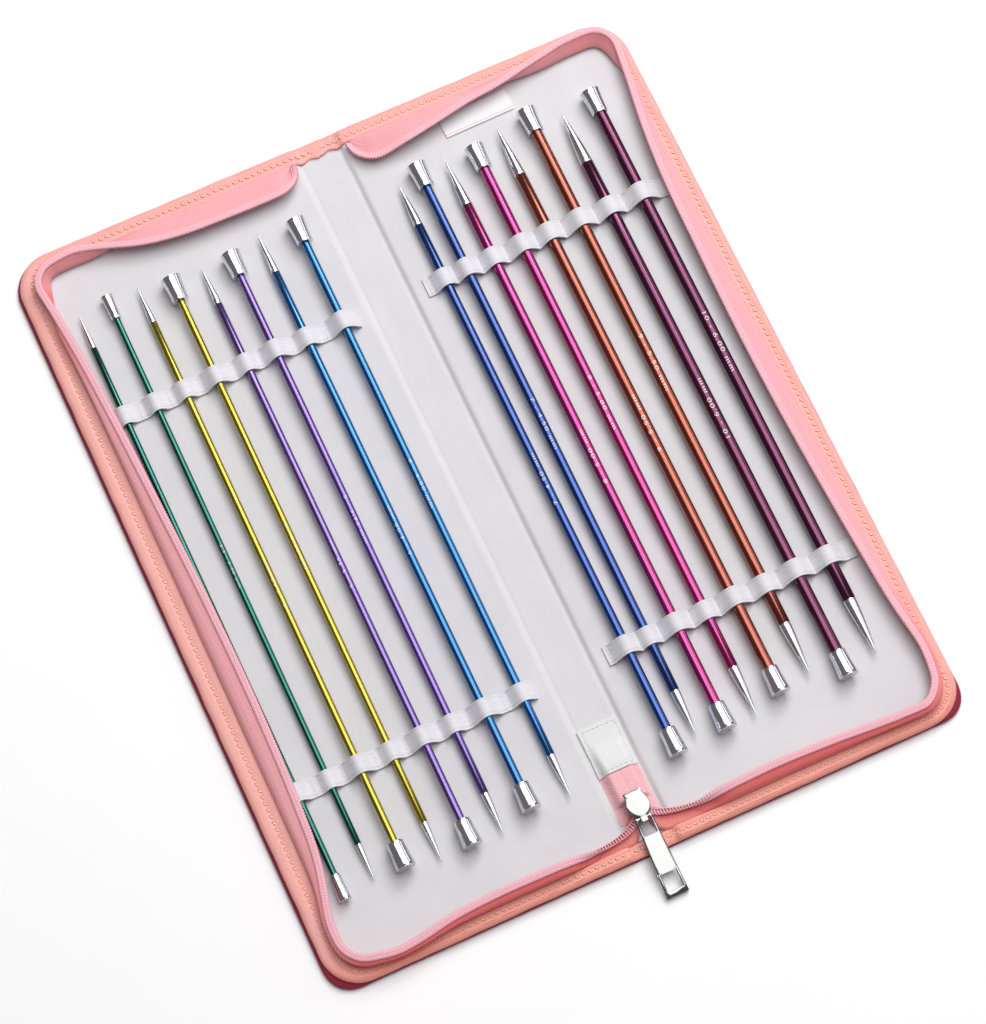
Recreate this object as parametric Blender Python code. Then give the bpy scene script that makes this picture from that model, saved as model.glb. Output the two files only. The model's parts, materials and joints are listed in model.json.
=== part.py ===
"""Eight pairs of single-pointed knitting needles in a zip-around folding case, lying open.

The needles lie along Y, four pairs on each panel, under two elastic bands a panel. The origin is on the
underside of the spine, at its centre: +X runs across the open case, +Y along the needles towards the edge
with no zip slider, and +Z up. The case closes about two fold lines, one on each side of the spine.
"""

from math import atan2, cos, hypot, pi, radians, sin, sqrt, tan

import bmesh
import bpy
from mathutils import Matrix, Vector

MM = 0.001
GAP = 0.3 * MM  # between pieces that touch

# Case
HALF_WIDTH = 153 * MM  # spine centre to the outer edge of a panel
HALF_LENGTH = 185.5 * MM
CORNER_RADIUS = 18 * MM
PANEL_TOP = 4.0 * MM  # the lining's face
SPINE_TOP = 2.2 * MM
FOLD_X = 10.5 * MM  # the fold lines run along Y at this distance from the centre
BINDING_WIDTH = 7.5 * MM
BINDING_TOP = 4.8 * MM
CORNER_STEPS = 7

# Zip: each panel's half stands on the lining, just inside the binding, and leans inwards
TAPE_INSET = 9.0 * MM
TAPE_THICKNESS = 1.0 * MM
TAPE_WIDTH = 14.5 * MM  # along its slope
TAPE_RISE = 8.2 * MM  # the most it stands above the lining, so that the halves meet when shut
COIL_RADIUS = 1.1 * MM
TAPE_END_TOP = 14.0 * MM  # how far from the spine's centre the upper end stops
TAPE_CURL = 16.0 * MM  # the stretch in which the upper end rises upright again
TAPE_END_BOTTOM = 12.5 * MM
LOW_END_RISE = 2.8 * MM  # beside the slider, where the pull passes over it when shut
LOW_END_REACH = 32 * MM  # the stretch in which it comes up to the full rise
TAPE_LEAN = {  # how far each panel's coil stands inwards of the tape's foot, along each edge
    "left": {"bottom": 3 * MM, "side": 10 * MM, "top": 13 * MM},
    "right": {"bottom": 2 * MM, "side": 9 * MM, "top": 12 * MM},
}
LEAN_RAMP = {"bottom": 65 * MM, "side": 55 * MM, "top": 65 * MM}  # the stretch from a corner to the full lean

# Elastic bands
BAND_WIDTH = 9.5 * MM
BAND_THICKNESS = 0.8 * MM
BAND_CLEARANCE = 0.35 * MM
BAND_Y = {"upper": 96 * MM, "lower": -97 * MM}
BAND_REACH = {"left": (-139.5 * MM, -19 * MM), "right": (17 * MM, 139.5 * MM)}
LOOP_SLOPE = radians(18)  # how far from upright the sides of a loop come down

# Needles: each is tip at one end and cap at the other, and neighbours lie head to tail
NEEDLE_LENGTH = 300 * MM
NEEDLE_SIDES = 16
CAP_LENGTH = 12.3 * MM
CAP_FLOOR = 2.8 * MM
TUBE_WALL = 0.6 * MM
SPIGOT_LENGTH = 8 * MM
FIT_GAP = 0.15 * MM
LYING_GAP = 0.5 * MM  # under a cap, and under a shaft at its tip
THICKEST_WITH_SMALL_CAP = 3.0 * MM
SMALL_CAP = (2.4 * MM, 2.9 * MM)  # radius at the shaft and at the free end
LARGE_CAP = (3.9 * MM, 4.7 * MM)
# Each pair: diameter, colour, then the place across the case and the shift along it of its two needles
NEEDLE_PAIRS = (
    (3.00, (0.01, 0.22, 0.15), (-132.5, 0.5), (-117.5, 2.8)),
    (3.50, (0.62, 0.52, 0.03), (-103.0, 2.2), (-87.5, -2.0)),
    (3.75, (0.20, 0.08, 0.45), (-72.5, -1.0), (-58.0, -2.2)),
    (4.00, (0.02, 0.18, 0.52), (-42.5, 3.0), (-24.5, 0.4)),
    (4.50, (0.03, 0.07, 0.32), (26.5, -1.5), (37.5, 2.2)),
    (5.00, (0.55, 0.03, 0.26), (51.0, -0.1), (65.5, -0.6)),
    (5.50, (0.42, 0.10, 0.04), (79.5, 4.8), (95.0, 6.1)),
    (6.00, (0.14, 0.01, 0.10), (110.0, -0.9), (126.0, 2.2)),
)

# Zip end: the closed end of the zip lies on the spine, and the slider is parked on it
END_TAPE_HALF_WIDTH = 8.0 * MM
END_TAPE_Y = (-168 * MM, -145.5 * MM)
END_TAPE_TOP = 4.6 * MM
END_TAB_Y = (-145.5 * MM, -122.5 * MM)  # the cloth tab sewn over the tape's end, which stops the slider
END_TAB_TOP = 5.8 * MM
SLIDER_Y = -164.8 * MM  # the middle of the shield's round nose
SLIDER_HALF_WIDTH = 5.4 * MM
SLIDER_NOSE = 5.9 * MM
SLIDER_TAIL = 6.6 * MM
SLIDER_TAIL_HALF_WIDTH = 4.3 * MM
SLIDER_LEVELS = {  # size of each flat layer against the shield's, and its heights
    "lower_plate": (0.86, 5.1 * MM, 5.9 * MM),
    "wedge": (0.35, 5.8 * MM, 7.7 * MM),
    "upper_plate": (0.86, 7.6 * MM, 8.4 * MM),
    "shield": (1.0, 10.4 * MM, 11.6 * MM),
}
BRIDGE_HALF_WIDTH = 1.6 * MM  # the post that holds the shield over the upper plate
BRIDGE_Y = (-163.5 * MM, -160 * MM)
BRIDGE_Z = (8.3 * MM, 10.5 * MM)
LUG_HALF_WIDTH = 1.5 * MM
LUG_Y = (-172.9 * MM, -168.5 * MM)
LIP_Y = (-172.9 * MM, -171.8 * MM)
LUG_PARTS = (  # a tongue below the pull's bar, a lip in front of it and a tongue above it
    (LUG_Y, (7.7 * MM, 8.3 * MM)),
    (LIP_Y, (7.8 * MM, 11.3 * MM)),
    (LUG_Y, (10.5 * MM, 11.4 * MM)),
)
PULL_AXIS_Y = -170.6 * MM
PULL_AXIS_Z = 9.4 * MM
PULL_LENGTH = 36.8 * MM  # from its axis
PULL_DROOP = radians(12.7)  # its free end lies on the table
PULL_BAR_RADIUS = 0.65 * MM
PULL_HALF_WIDTHS = (4.0 * MM, 5.3 * MM)  # at its axis and at its free end
PULL_HALF_THICKNESSES = (PULL_BAR_RADIUS, 1.2 * MM)
PULL_THICKENS_Y = (-9 * MM, -26 * MM)  # from its axis
PULL_WINDOW = (2.9 * MM, -8.0 * MM, -PULL_BAR_RADIUS)  # half width, and its two ends from the axis
PULL_HOLE = (3.75 * MM, 2.8 * MM - PULL_LENGTH, 11.2 * MM - PULL_LENGTH)

CRIMSON = (0.33, 0.02, 0.07)
PINK = (0.80, 0.30, 0.36)
WHITE = (0.78, 0.76, 0.78)
STEEL = (0.78, 0.78, 0.80)


def clear_scene():
    for obj in list(bpy.data.objects):
        bpy.data.objects.remove(obj, do_unlink=True)


def material(name, colour, roughness, metallic=0.0):
    made = bpy.data.materials.get(name) or bpy.data.materials.new(name)
    made.use_nodes = True
    shader = made.node_tree.nodes["Principled BSDF"]
    shader.inputs["Base Color"].default_value = (*colour, 1.0)
    shader.inputs["Roughness"].default_value = roughness
    shader.inputs["Metallic"].default_value = metallic
    made.diffuse_color = (*colour, 1.0)
    return made


def add_object(name, bm, finish, round_piece=False):
    """Turns a bmesh into an object with its faces pointing outwards."""
    bmesh.ops.recalc_face_normals(bm, faces=bm.faces)
    mesh = bpy.data.meshes.new(name)
    bm.to_mesh(mesh)
    bm.free()
    mesh.materials.append(finish)
    if round_piece:
        mesh.shade_smooth()
        mesh.set_sharp_from_angle(angle=radians(35))
    obj = bpy.data.objects.new(name, mesh)
    bpy.context.scene.collection.objects.link(obj)
    return obj


def sweep(bm, rings):
    """Joins rings of equally many points into a skin, and closes its two ends."""
    rings = [[bm.verts.new(point) for point in ring] for ring in rings]
    count = len(rings[0])
    for near, far in zip(rings, rings[1:]):
        for i in range(count):
            bm.faces.new((near[i], near[(i + 1) % count], far[(i + 1) % count], far[i]))
    bm.faces.new(rings[0])
    bm.faces.new(rings[-1])


def prism(bm, outline, low, high, axis="Z"):
    """A straight extrusion of a flat outline, along Z from (x, y) points or along X or Y from the other two."""
    place = {
        "X": lambda a, b, t: (t, a, b),
        "Y": lambda a, b, t: (a, t, b),
        "Z": lambda a, b, t: (a, b, t),
    }[axis]
    sweep(bm, [[place(a, b, t) for a, b in outline] for t in (low, high)])


def box(bm, x, y, z):
    prism(bm, [(x[0], y[0]), (x[1], y[0]), (x[1], y[1]), (x[0], y[1])], *z)


def combine(target, others, operation):
    """Joins helper solids to the target, or cuts them from it. The helpers stay hidden."""
    for other in others:
        other.hide_render = True
        other.display_type = "WIRE"
        modifier = target.modifiers.new(operation.title(), "BOOLEAN")
        modifier.operation = operation
        modifier.solver = "EXACT"
        modifier.object = other


# ---------------------------------------------------------------- case


def arc(centre, radius, start, end, steps):
    """Points on an arc in the XY plane, each with the unit vector from the centre."""
    for i in range(steps + 1):
        angle = start + (end - start) * i / steps
        way = (cos(angle), sin(angle))
        yield (centre[0] + radius * way[0], centre[1] + radius * way[1]), way


def panel_outline(side, inset):
    """The three bound edges of a panel, moved in by inset, from the fold's lower end round to its upper end."""
    fold = FOLD_X + GAP
    radius = CORNER_RADIUS - inset
    across, along = HALF_WIDTH - CORNER_RADIUS, HALF_LENGTH - CORNER_RADIUS
    points = [(fold, -HALF_LENGTH + inset)]
    points += [point for point, _ in arc((across, -along), radius, -pi / 2, 0, CORNER_STEPS)]
    points += [point for point, _ in arc((across, along), radius, 0, pi / 2, CORNER_STEPS)]
    points.append((fold, HALF_LENGTH - inset))
    return [(side * x, y) for x, y in points]


def make_panel(name, side):
    """A stiff cover panel: outer fabric, board and lining as one slab, with the binding's ridge round it."""
    edge = (  # inset and height, from the underside out, up and over the binding to the lining
        (2.2 * MM, 0.0),
        (0.6 * MM, 0.6 * MM),
        (0.0, 1.8 * MM),
        (0.0, 3.2 * MM),
        (0.9 * MM, BINDING_TOP - 0.2 * MM),
        (2.0 * MM, BINDING_TOP),
        (BINDING_WIDTH, BINDING_TOP),
        (BINDING_WIDTH + 0.3 * MM, PANEL_TOP),
    )
    bm = bmesh.new()
    loops = [[bm.verts.new((x, y, z)) for x, y in panel_outline(side, inset)] for inset, z in edge]
    for low, high in zip(loops, loops[1:]):
        for i in range(len(low) - 1):
            bm.faces.new((low[i], low[i + 1], high[i + 1], high[i]))
    bm.faces.new(loops[0])
    bm.faces.new(loops[-1])
    bm.faces.new([loop[0] for loop in loops] + [loop[-1] for loop in reversed(loops)])
    return add_object(name, bm, material("cover_fabric", CRIMSON, 0.7))


def make_spine():
    """The soft spine, thinner than the panels and with rounded ends."""
    half_side = [
        (HALF_LENGTH - 2.0 * MM, 0.0),
        (HALF_LENGTH - 0.4 * MM, 0.5 * MM),
        (HALF_LENGTH, 1.3 * MM),
        (HALF_LENGTH - 0.6 * MM, SPINE_TOP),
    ]
    profile = half_side + [(-y, z) for y, z in reversed(half_side)]
    bm = bmesh.new()
    prism(bm, profile, -FOLD_X + GAP, FOLD_X - GAP, axis="X")
    return add_object("spine_panel", bm, material("cover_fabric", CRIMSON, 0.7))


# ---------------------------------------------------------------- zip


def ease(value):
    """0 to 1 with no slope at either end, for a value that runs from 0 to 1."""
    value = min(1.0, max(0.0, value))
    return value * value * (3 - 2 * value)


def tape_lean(edge, place, lean):
    """How far the coil stands inwards of the tape's foot. place is the distance along the edge from its corner,
    and the tape stands up where it rounds a corner and at its upper end."""
    value = lean[edge] * ease(place / LEAN_RAMP[edge])
    if edge == "top":
        value *= ease((HALF_WIDTH - CORNER_RADIUS - TAPE_END_TOP - place) / TAPE_CURL)
    return value


def tape_stations(lean):
    """The foot of the tape on the +X side, from beside the slider round to the upper end of the spine:
    place, inward direction, how far the coil leans in, and how high it stands."""
    across, along = HALF_WIDTH - CORNER_RADIUS, HALF_LENGTH - CORNER_RADIUS
    radius = CORNER_RADIUS - TAPE_INSET
    bottom, top = -HALF_LENGTH + TAPE_INSET, HALF_LENGTH - TAPE_INSET
    stations = []

    def add(point, inward, edge, place):
        leaning = tape_lean(edge, place, lean) if edge else 0.0
        rise = min(TAPE_RISE, sqrt(TAPE_WIDTH**2 - leaning**2))
        if edge == "bottom":
            rise = LOW_END_RISE + (rise - LOW_END_RISE) * ease((point[0] - TAPE_END_BOTTOM) / LOW_END_REACH)
        stations.append((Vector((*point, 0)), Vector((*inward, 0)), leaning, rise))

    bottom_steps, side_steps, top_steps, curl_steps = 9, 14, 9, 8
    for i in range(bottom_steps):
        x = TAPE_END_BOTTOM + (across - TAPE_END_BOTTOM) * i / bottom_steps
        add((x, bottom), (0, 1), "bottom", across - x)
    for point, way in arc((across, -along), radius, -pi / 2, 0, CORNER_STEPS):
        add(point, (-way[0], -way[1]), None, 0)
    for i in range(1, side_steps):
        y = -along + 2 * along * i / side_steps
        add((HALF_WIDTH - TAPE_INSET, y), (-1, 0), "side", min(y + along, along - y))
    for point, way in arc((across, along), radius, 0, pi / 2, CORNER_STEPS):
        add(point, (-way[0], -way[1]), None, 0)
    curl_start = TAPE_END_TOP + TAPE_CURL
    for i in range(1, top_steps):
        x = across - (across - curl_start) * i / top_steps
        add((x, top), (0, -1), "top", across - x)
    for i in range(curl_steps + 1):
        x = curl_start - TAPE_CURL * i / curl_steps
        add((x, top), (0, -1), "top", across - x)
    return stations


def make_tape(name, side, lean):
    """Half of the zip: its tape with the coil along the free edge."""
    half = TAPE_THICKNESS / 2
    rings = []
    for foot, inward, leaning, rise in tape_stations(lean):
        slope = Vector((leaning, rise)).normalized()
        across = Vector((slope.y, -slope.x))  # towards the inside of the case
        low = Vector((0.0, PANEL_TOP + GAP))
        coil = Vector((leaning, PANEL_TOP + rise - COIL_RADIUS))
        below = coil - slope * COIL_RADIUS
        section = (
            low - Vector((half, 0)),
            below - across * half,
            coil - across * COIL_RADIUS,
            coil + slope * COIL_RADIUS,
            coil + across * COIL_RADIUS,
            below + across * half,
            low + Vector((half, 0)),
        )
        rings.append([foot + inward * a + Vector((0, 0, z)) for a, z in section])
    bm = bmesh.new()
    sweep(bm, [[(side * p.x, p.y, p.z) for p in ring] for ring in rings])
    bmesh.ops.triangulate(bm, faces=bm.faces, quad_method="SHORT_EDGE")  # the same way on both faces
    return add_object(name, bm, material("zip_tape", PINK, 0.8))


def make_end_tape():
    """The closed end of the zip, lying on the spine, with the cloth tab sewn over it."""
    floor = SPINE_TOP + GAP
    profile = [(END_TAPE_Y[0], floor), (END_TAPE_Y[0], END_TAPE_TOP), (END_TAPE_Y[1], END_TAPE_TOP)]
    profile += [(END_TAB_Y[0], END_TAB_TOP), (END_TAB_Y[1], END_TAB_TOP), (END_TAB_Y[1], floor)]
    bm = bmesh.new()
    prism(bm, profile, -END_TAPE_HALF_WIDTH, END_TAPE_HALF_WIDTH, axis="X")
    return add_object("zip_end_tab", bm, material("lining", WHITE, 0.9))


def shield_outline(scale=1.0):
    """A square tail, a slight waist and a round nose that points to -Y."""
    tail = [(SLIDER_TAIL_HALF_WIDTH, SLIDER_TAIL), (SLIDER_TAIL_HALF_WIDTH - 0.3 * MM, SLIDER_TAIL - 2 * MM)]
    nose = []
    for i in range(13):
        angle = pi / 8 - (pi + pi / 4) * i / 12
        nose.append((SLIDER_HALF_WIDTH * cos(angle), SLIDER_NOSE * sin(angle)))
    outline = tail + nose + [(-x, y) for x, y in reversed(tail)]
    return [(x * scale, SLIDER_Y + y * scale) for x, y in outline]


def make_slider():
    """The slider: a lower and an upper plate held apart by a wedge, and a shield over the bridge."""
    steel = material("slider_metal", STEEL, 0.2, 1.0)
    layers = []

    def layer(outline, low, high):
        bm = bmesh.new()
        prism(bm, outline, low, high)
        layers.append(bm)

    def block(half_width, y, z):
        layer([(-half_width, y[0]), (half_width, y[0]), (half_width, y[1]), (-half_width, y[1])], *z)

    for name in ("lower_plate", "wedge", "upper_plate"):
        scale, low, high = SLIDER_LEVELS[name]
        layer(shield_outline(scale), low, high)
    block(BRIDGE_HALF_WIDTH, BRIDGE_Y, BRIDGE_Z)
    scale, low, high = SLIDER_LEVELS["shield"]
    layer(shield_outline(scale), low, high)
    for y, z in LUG_PARTS:
        block(LUG_HALF_WIDTH, y, z)
    slider = add_object("zip_slider", layers[0], steel)
    helpers = [add_object(f"slider_layer_{i}", bm, steel) for i, bm in enumerate(layers[1:])]
    combine(slider, helpers, "UNION")
    return slider


def make_pull(slider_empty):
    """The pull: a tapering tag with a cross bar at its root, a window in front of it and a square hole."""
    steel = material("slider_metal", STEEL, 0.2, 1.0)
    near, far = PULL_HALF_WIDTHS
    thin, thick = PULL_HALF_THICKNESSES
    root, end = PULL_BAR_RADIUS, -PULL_LENGTH
    bm = bmesh.new()
    thickness = ((root, thin), (PULL_THICKENS_Y[0], thin), (PULL_THICKENS_Y[1], thick), (end, thick))
    rings = []
    for y, half in thickness:
        wide = near + (far - near) * (root - y) / (root - end)
        rings.append([(-wide, y, -half), (wide, y, -half), (wide, y, half), (-wide, y, half)])
    sweep(bm, rings)
    pull = add_object("zip_pull", bm, steel)
    cutters = []
    for i, (wide, low, high) in enumerate((PULL_WINDOW, PULL_HOLE)):
        hole = bmesh.new()
        box(hole, (-wide, wide), (low, high), (-3 * MM, 3 * MM))
        cutters.append(add_object(f"pull_hole_{i}", hole, steel))
    combine(pull, cutters, "DIFFERENCE")
    for obj in (pull, *cutters):
        obj.parent = slider_empty
    return pull


# ---------------------------------------------------------------- needles


class Needle:
    """Where one needle lies. flip is 1 where its cap is towards +Y and -1 where it is towards -Y."""

    def __init__(self, number, diameter, colour, x, shift):
        self.name = f"needle_{number:02d}"
        self.radius = diameter * MM / 2
        self.colour = colour
        self.finish = f"anodised_{diameter * 100:.0f}"
        self.x, self.y = x * MM, shift * MM
        self.flip = -1 if number % 2 else 1
        small = self.radius * 2 <= THICKEST_WITH_SMALL_CAP
        self.cap_radii = SMALL_CAP if small else LARGE_CAP
        self.tip_length = 7.7 * MM + 6.9 * self.radius
        cap_height = PANEL_TOP + LYING_GAP + self.cap_radii[1]
        tip_height = PANEL_TOP + LYING_GAP + self.radius
        self.middle_height = (cap_height + tip_height) / 2
        self.tilt = atan2(cap_height - tip_height, NEEDLE_LENGTH)

    def height_at(self, y):
        """The height of the needle's axis at a place along the case."""
        return self.middle_height + (y - self.y) * self.flip * tan(self.tilt)


def all_needles():
    needles = []
    for pair, (diameter, colour, *places) in enumerate(NEEDLE_PAIRS):
        for half, (x, shift) in enumerate(places):
            needles.append(Needle(2 * pair + half + 1, diameter, colour, x, shift))
    return needles


def turned(name, profile, finish, hollow=False):
    """A piece turned about its local Y axis from (place, radius) points. A hollow profile closes on itself."""
    bm = bmesh.new()
    angles = [2 * pi * i / NEEDLE_SIDES for i in range(NEEDLE_SIDES)]
    rings = [[bm.verts.new((r * cos(a), y, r * sin(a))) for a in angles] for y, r in profile]
    pairs = list(zip(rings, rings[1:]))
    if hollow:
        pairs.append((rings[-1], rings[0]))
    for near, far in pairs:
        for i in range(NEEDLE_SIDES):
            after = (i + 1) % NEEDLE_SIDES
            bm.faces.new((near[i], near[after], far[after], far[i]))
    if not hollow:
        bm.faces.new(rings[0])
        bm.faces.new(rings[-1])
    return add_object(name, bm, finish, round_piece=True)


def make_needle(needle):
    """Tube, tip and cap of one needle, on an empty at the middle of its axis. Local +Y points to the cap."""
    radius, half = needle.radius, NEEDLE_LENGTH / 2
    cap_mouth, shoulder = half - CAP_LENGTH, -half + needle.tip_length
    bore = radius - TUBE_WALL
    tube_end = half - CAP_FLOOR - GAP
    steel = material("needle_metal", STEEL, 0.15, 1.0)
    colour = material(needle.finish, needle.colour, 0.3, 1.0)
    tube = [(shoulder + GAP, bore), (shoulder + GAP, radius), (tube_end, radius), (tube_end, bore)]
    spigot = bore - FIT_GAP
    tip = [(shoulder + SPIGOT_LENGTH, spigot), (shoulder, spigot), (shoulder, radius)]
    for along, share in ((0.12, 0.95), (0.45, 0.64), (0.80, 0.29), (1.0, 0.07)):
        tip.append((shoulder - needle.tip_length * along, radius * share))
    near, far = needle.cap_radii
    socket = radius + FIT_GAP
    cap = [
        (half - CAP_FLOOR, socket),
        (cap_mouth, socket),
        (cap_mouth, near),
        (half - CAP_LENGTH * 0.55, near + 0.1 * MM),
        (half - 0.5 * MM, far),
        (half, far - 0.3 * MM),
    ]
    empty = bpy.data.objects.new(needle.name + "_axis", None)
    bpy.context.scene.collection.objects.link(empty)
    empty.location = (needle.x, needle.y, needle.middle_height)
    turn = Matrix.Rotation(0 if needle.flip > 0 else pi, 3, "Z")
    empty.rotation_euler = (turn @ Matrix.Rotation(needle.tilt, 3, "X")).to_euler()
    for obj in (
        turned(needle.name + "_shaft", tube, colour, hollow=True),
        turned(needle.name + "_tip", tip, steel),
        turned(needle.name + "_cap", cap, steel),
    ):
        obj.parent = empty


# ---------------------------------------------------------------- elastic bands


def band_line(side, y, needles):
    """The middle of a band's thickness in the XZ plane: flat on the lining, and a loop over each needle."""
    floor = PANEL_TOP + GAP + BAND_THICKNESS / 2
    start, end = BAND_REACH[side]
    line = [(start, floor)]
    for needle in sorted(needles, key=lambda n: n.x):
        if not start < needle.x < end:
            continue
        radius = needle.radius + BAND_CLEARANCE + BAND_THICKNESS / 2
        height = needle.height_at(y)
        shoulder = height + radius * sin(LOOP_SLOPE)
        foot = radius * cos(LOOP_SLOPE) + (shoulder - floor) * tan(LOOP_SLOPE)
        line.append((needle.x - foot, floor))
        for i in range(6):
            angle = pi - LOOP_SLOPE - (pi - 2 * LOOP_SLOPE) * i / 5
            line.append((needle.x + radius * cos(angle), height + radius * sin(angle)))
        line.append((needle.x + foot, floor))
    line.append((end, floor))
    return line


def thicken(line, half):
    """The outline of a strip that runs along a line of (x, z) points."""
    above, below = [], []
    for i, (x, z) in enumerate(line):
        before, after = line[max(i - 1, 0)], line[min(i + 1, len(line) - 1)]
        ways = []
        for (x0, z0), (x1, z1) in ((before, (x, z)), ((x, z), after)):
            length = hypot(x1 - x0, z1 - z0)
            if length > 0:
                ways.append(Vector((z0 - z1, x1 - x0)) / length)
        normal = sum(ways, Vector((0, 0))).normalized()
        reach = half / normal.dot(ways[0])
        above.append((x + normal.x * reach, z + normal.y * reach))
        below.append((x - normal.x * reach, z - normal.y * reach))
    return above + below[::-1]


def make_band(side, level, needles):
    y = BAND_Y[level]
    outline = thicken(band_line(side, y, needles), BAND_THICKNESS / 2)
    bm = bmesh.new()
    prism(bm, outline, y - BAND_WIDTH / 2, y + BAND_WIDTH / 2, axis="Y")
    return add_object(f"{side}_{level}_elastic", bm, material("elastic", WHITE, 0.9))


def main():
    clear_scene()
    needles = all_needles()
    for needle in needles:
        make_needle(needle)
    make_panel("left_panel", -1)
    make_panel("right_panel", 1)
    make_spine()
    make_tape("left_zip_tape", -1, TAPE_LEAN["left"])
    make_tape("right_zip_tape", 1, TAPE_LEAN["right"])
    make_end_tape()
    make_slider()
    pull_axis = bpy.data.objects.new("pull_axis", None)
    bpy.context.scene.collection.objects.link(pull_axis)
    pull_axis.location = (0, PULL_AXIS_Y, PULL_AXIS_Z)
    pull_axis.rotation_euler = (PULL_DROOP, 0, 0)
    make_pull(pull_axis)
    for side in ("left", "right"):
        for level in ("upper", "lower"):
            make_band(side, level, needles)


main()
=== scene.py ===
import json
from math import cos, pi, radians, sin

import bmesh
import bpy
import numpy as np
from mathutils import Matrix, Vector, noise


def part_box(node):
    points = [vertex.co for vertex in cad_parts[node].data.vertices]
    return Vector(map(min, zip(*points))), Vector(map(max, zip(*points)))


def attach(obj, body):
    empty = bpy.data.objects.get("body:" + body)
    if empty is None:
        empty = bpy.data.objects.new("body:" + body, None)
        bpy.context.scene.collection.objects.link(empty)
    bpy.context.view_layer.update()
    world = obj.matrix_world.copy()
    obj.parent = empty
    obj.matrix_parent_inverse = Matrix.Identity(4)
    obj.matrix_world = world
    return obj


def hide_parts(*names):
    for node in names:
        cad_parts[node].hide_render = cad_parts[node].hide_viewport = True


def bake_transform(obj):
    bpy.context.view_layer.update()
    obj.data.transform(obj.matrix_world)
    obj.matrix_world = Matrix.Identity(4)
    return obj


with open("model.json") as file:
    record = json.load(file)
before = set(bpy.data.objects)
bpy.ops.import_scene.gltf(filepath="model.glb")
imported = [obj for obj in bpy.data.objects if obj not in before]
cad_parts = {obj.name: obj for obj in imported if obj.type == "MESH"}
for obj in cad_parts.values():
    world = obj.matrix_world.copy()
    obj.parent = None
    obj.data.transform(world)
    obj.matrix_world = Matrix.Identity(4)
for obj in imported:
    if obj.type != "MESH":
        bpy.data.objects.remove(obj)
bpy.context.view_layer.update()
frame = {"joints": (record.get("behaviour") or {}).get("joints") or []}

MM = 0.001

# Case, as in the CAD model (millimetres)
HALF_WIDTH, HALF_LENGTH, CORNER_RADIUS = 153.0, 185.5, 18.0
LINING_TOP, SPINE_TOP, FOLD_X = 4.0, 2.2, 10.5
ACROSS, ALONG = HALF_WIDTH - CORNER_RADIUS, HALF_LENGTH - CORNER_RADIUS
SIDES = {"left": -1, "right": 1}

# ---------------------------------------------------------------- meshes


def ease(value):
    value = np.clip(value, 0.0, 1.0)
    return value * value * (3 - 2 * value)


def lumps(points, size, seed):
    """Smooth noise from -1 to 1 at each point, for features about size millimetres wide."""
    shift = Vector((seed * 17.3, seed * 5.1, seed * 9.7))
    return np.array([noise.noise(Vector(p) / size + shift) for p in np.reshape(points, (-1, 3))])


def lumps_over(x, y, size, seed):
    """The same over a grid of places."""
    return lumps(np.stack([x, y, x * 0], -1), size, seed).reshape(x.shape)


def unit(vectors):
    return vectors / (np.linalg.norm(vectors, axis=-1, keepdims=True) + 1e-12)


def add_mesh(name, points, faces, finish, pattern=None, crease=40):
    """A mesh from points in millimetres. pattern holds the coordinates that its material reads."""
    points = np.reshape(np.asarray(points, float), (-1, 3))
    pattern = points if pattern is None else np.reshape(np.asarray(pattern, float), (-1, 3))
    mesh = bpy.data.meshes.new(name)
    mesh.from_pydata((points * MM).tolist(), [], faces)
    held = mesh.attributes.new("pattern", "FLOAT_VECTOR", "POINT")
    held.data.foreach_set("vector", pattern.astype(np.float32).ravel())
    bm = bmesh.new()
    bm.from_mesh(mesh)
    bmesh.ops.recalc_face_normals(bm, faces=bm.faces)
    bm.to_mesh(mesh)
    bm.free()
    mesh.shade_smooth()
    if crease:
        mesh.set_sharp_from_angle(angle=radians(crease))
    mesh.materials.append(finish)
    obj = bpy.data.objects.new(name, mesh)
    bpy.context.scene.collection.objects.link(obj)
    return obj


def grid_faces(rows, columns, wrap=False, start=0):
    faces = []
    last = columns if wrap else columns - 1
    for i in range(rows - 1):
        for j in range(last):
            a, b = start + i * columns + j, start + i * columns + (j + 1) % columns
            faces.append((a, b, b + columns, a + columns))
    return faces


def skin(rings, start=0):
    """Faces that join closed rings of points, with both ends closed."""
    count, around = rings.shape[:2]
    faces = grid_faces(count, around, wrap=True, start=start)
    faces.append(tuple(range(start, start + around)))
    faces.append(tuple(range(start + (count - 1) * around, start + count * around)))
    return faces


def slab(top, below):
    """Points and faces of a closed sheet between two grids of points."""
    rows, columns = top.shape[:2]
    size = rows * columns
    faces = grid_faces(rows, columns) + grid_faces(rows, columns, start=size)
    edge = list(range(columns))
    edge += [i * columns + columns - 1 for i in range(1, rows)]
    edge += [(rows - 1) * columns + j for j in range(columns - 2, -1, -1)]
    edge += [i * columns for i in range(rows - 2, 0, -1)]
    for a, b in zip(edge, edge[1:] + edge[:1]):
        faces.append((a, b, b + size, a + size))
    return np.concatenate([top.reshape(-1, 3), below.reshape(-1, 3)]), faces


def sheet(name, top, thickness, finish, pattern=None, up=(0, 0, 1)):
    """A closed sheet of cloth that lies below a grid of points, on the side away from up."""
    normal = np.cross(np.gradient(top, axis=0), np.gradient(top, axis=1))
    normal = unit(normal)
    if float((normal * np.asarray(up, float)).sum()) < 0:
        normal = -normal
    points, faces = slab(top, top - normal * thickness)
    if pattern is not None:
        pattern = np.concatenate([pattern.reshape(-1, 3)] * 2)
    return add_mesh(name, points, faces, finish, pattern)


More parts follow.
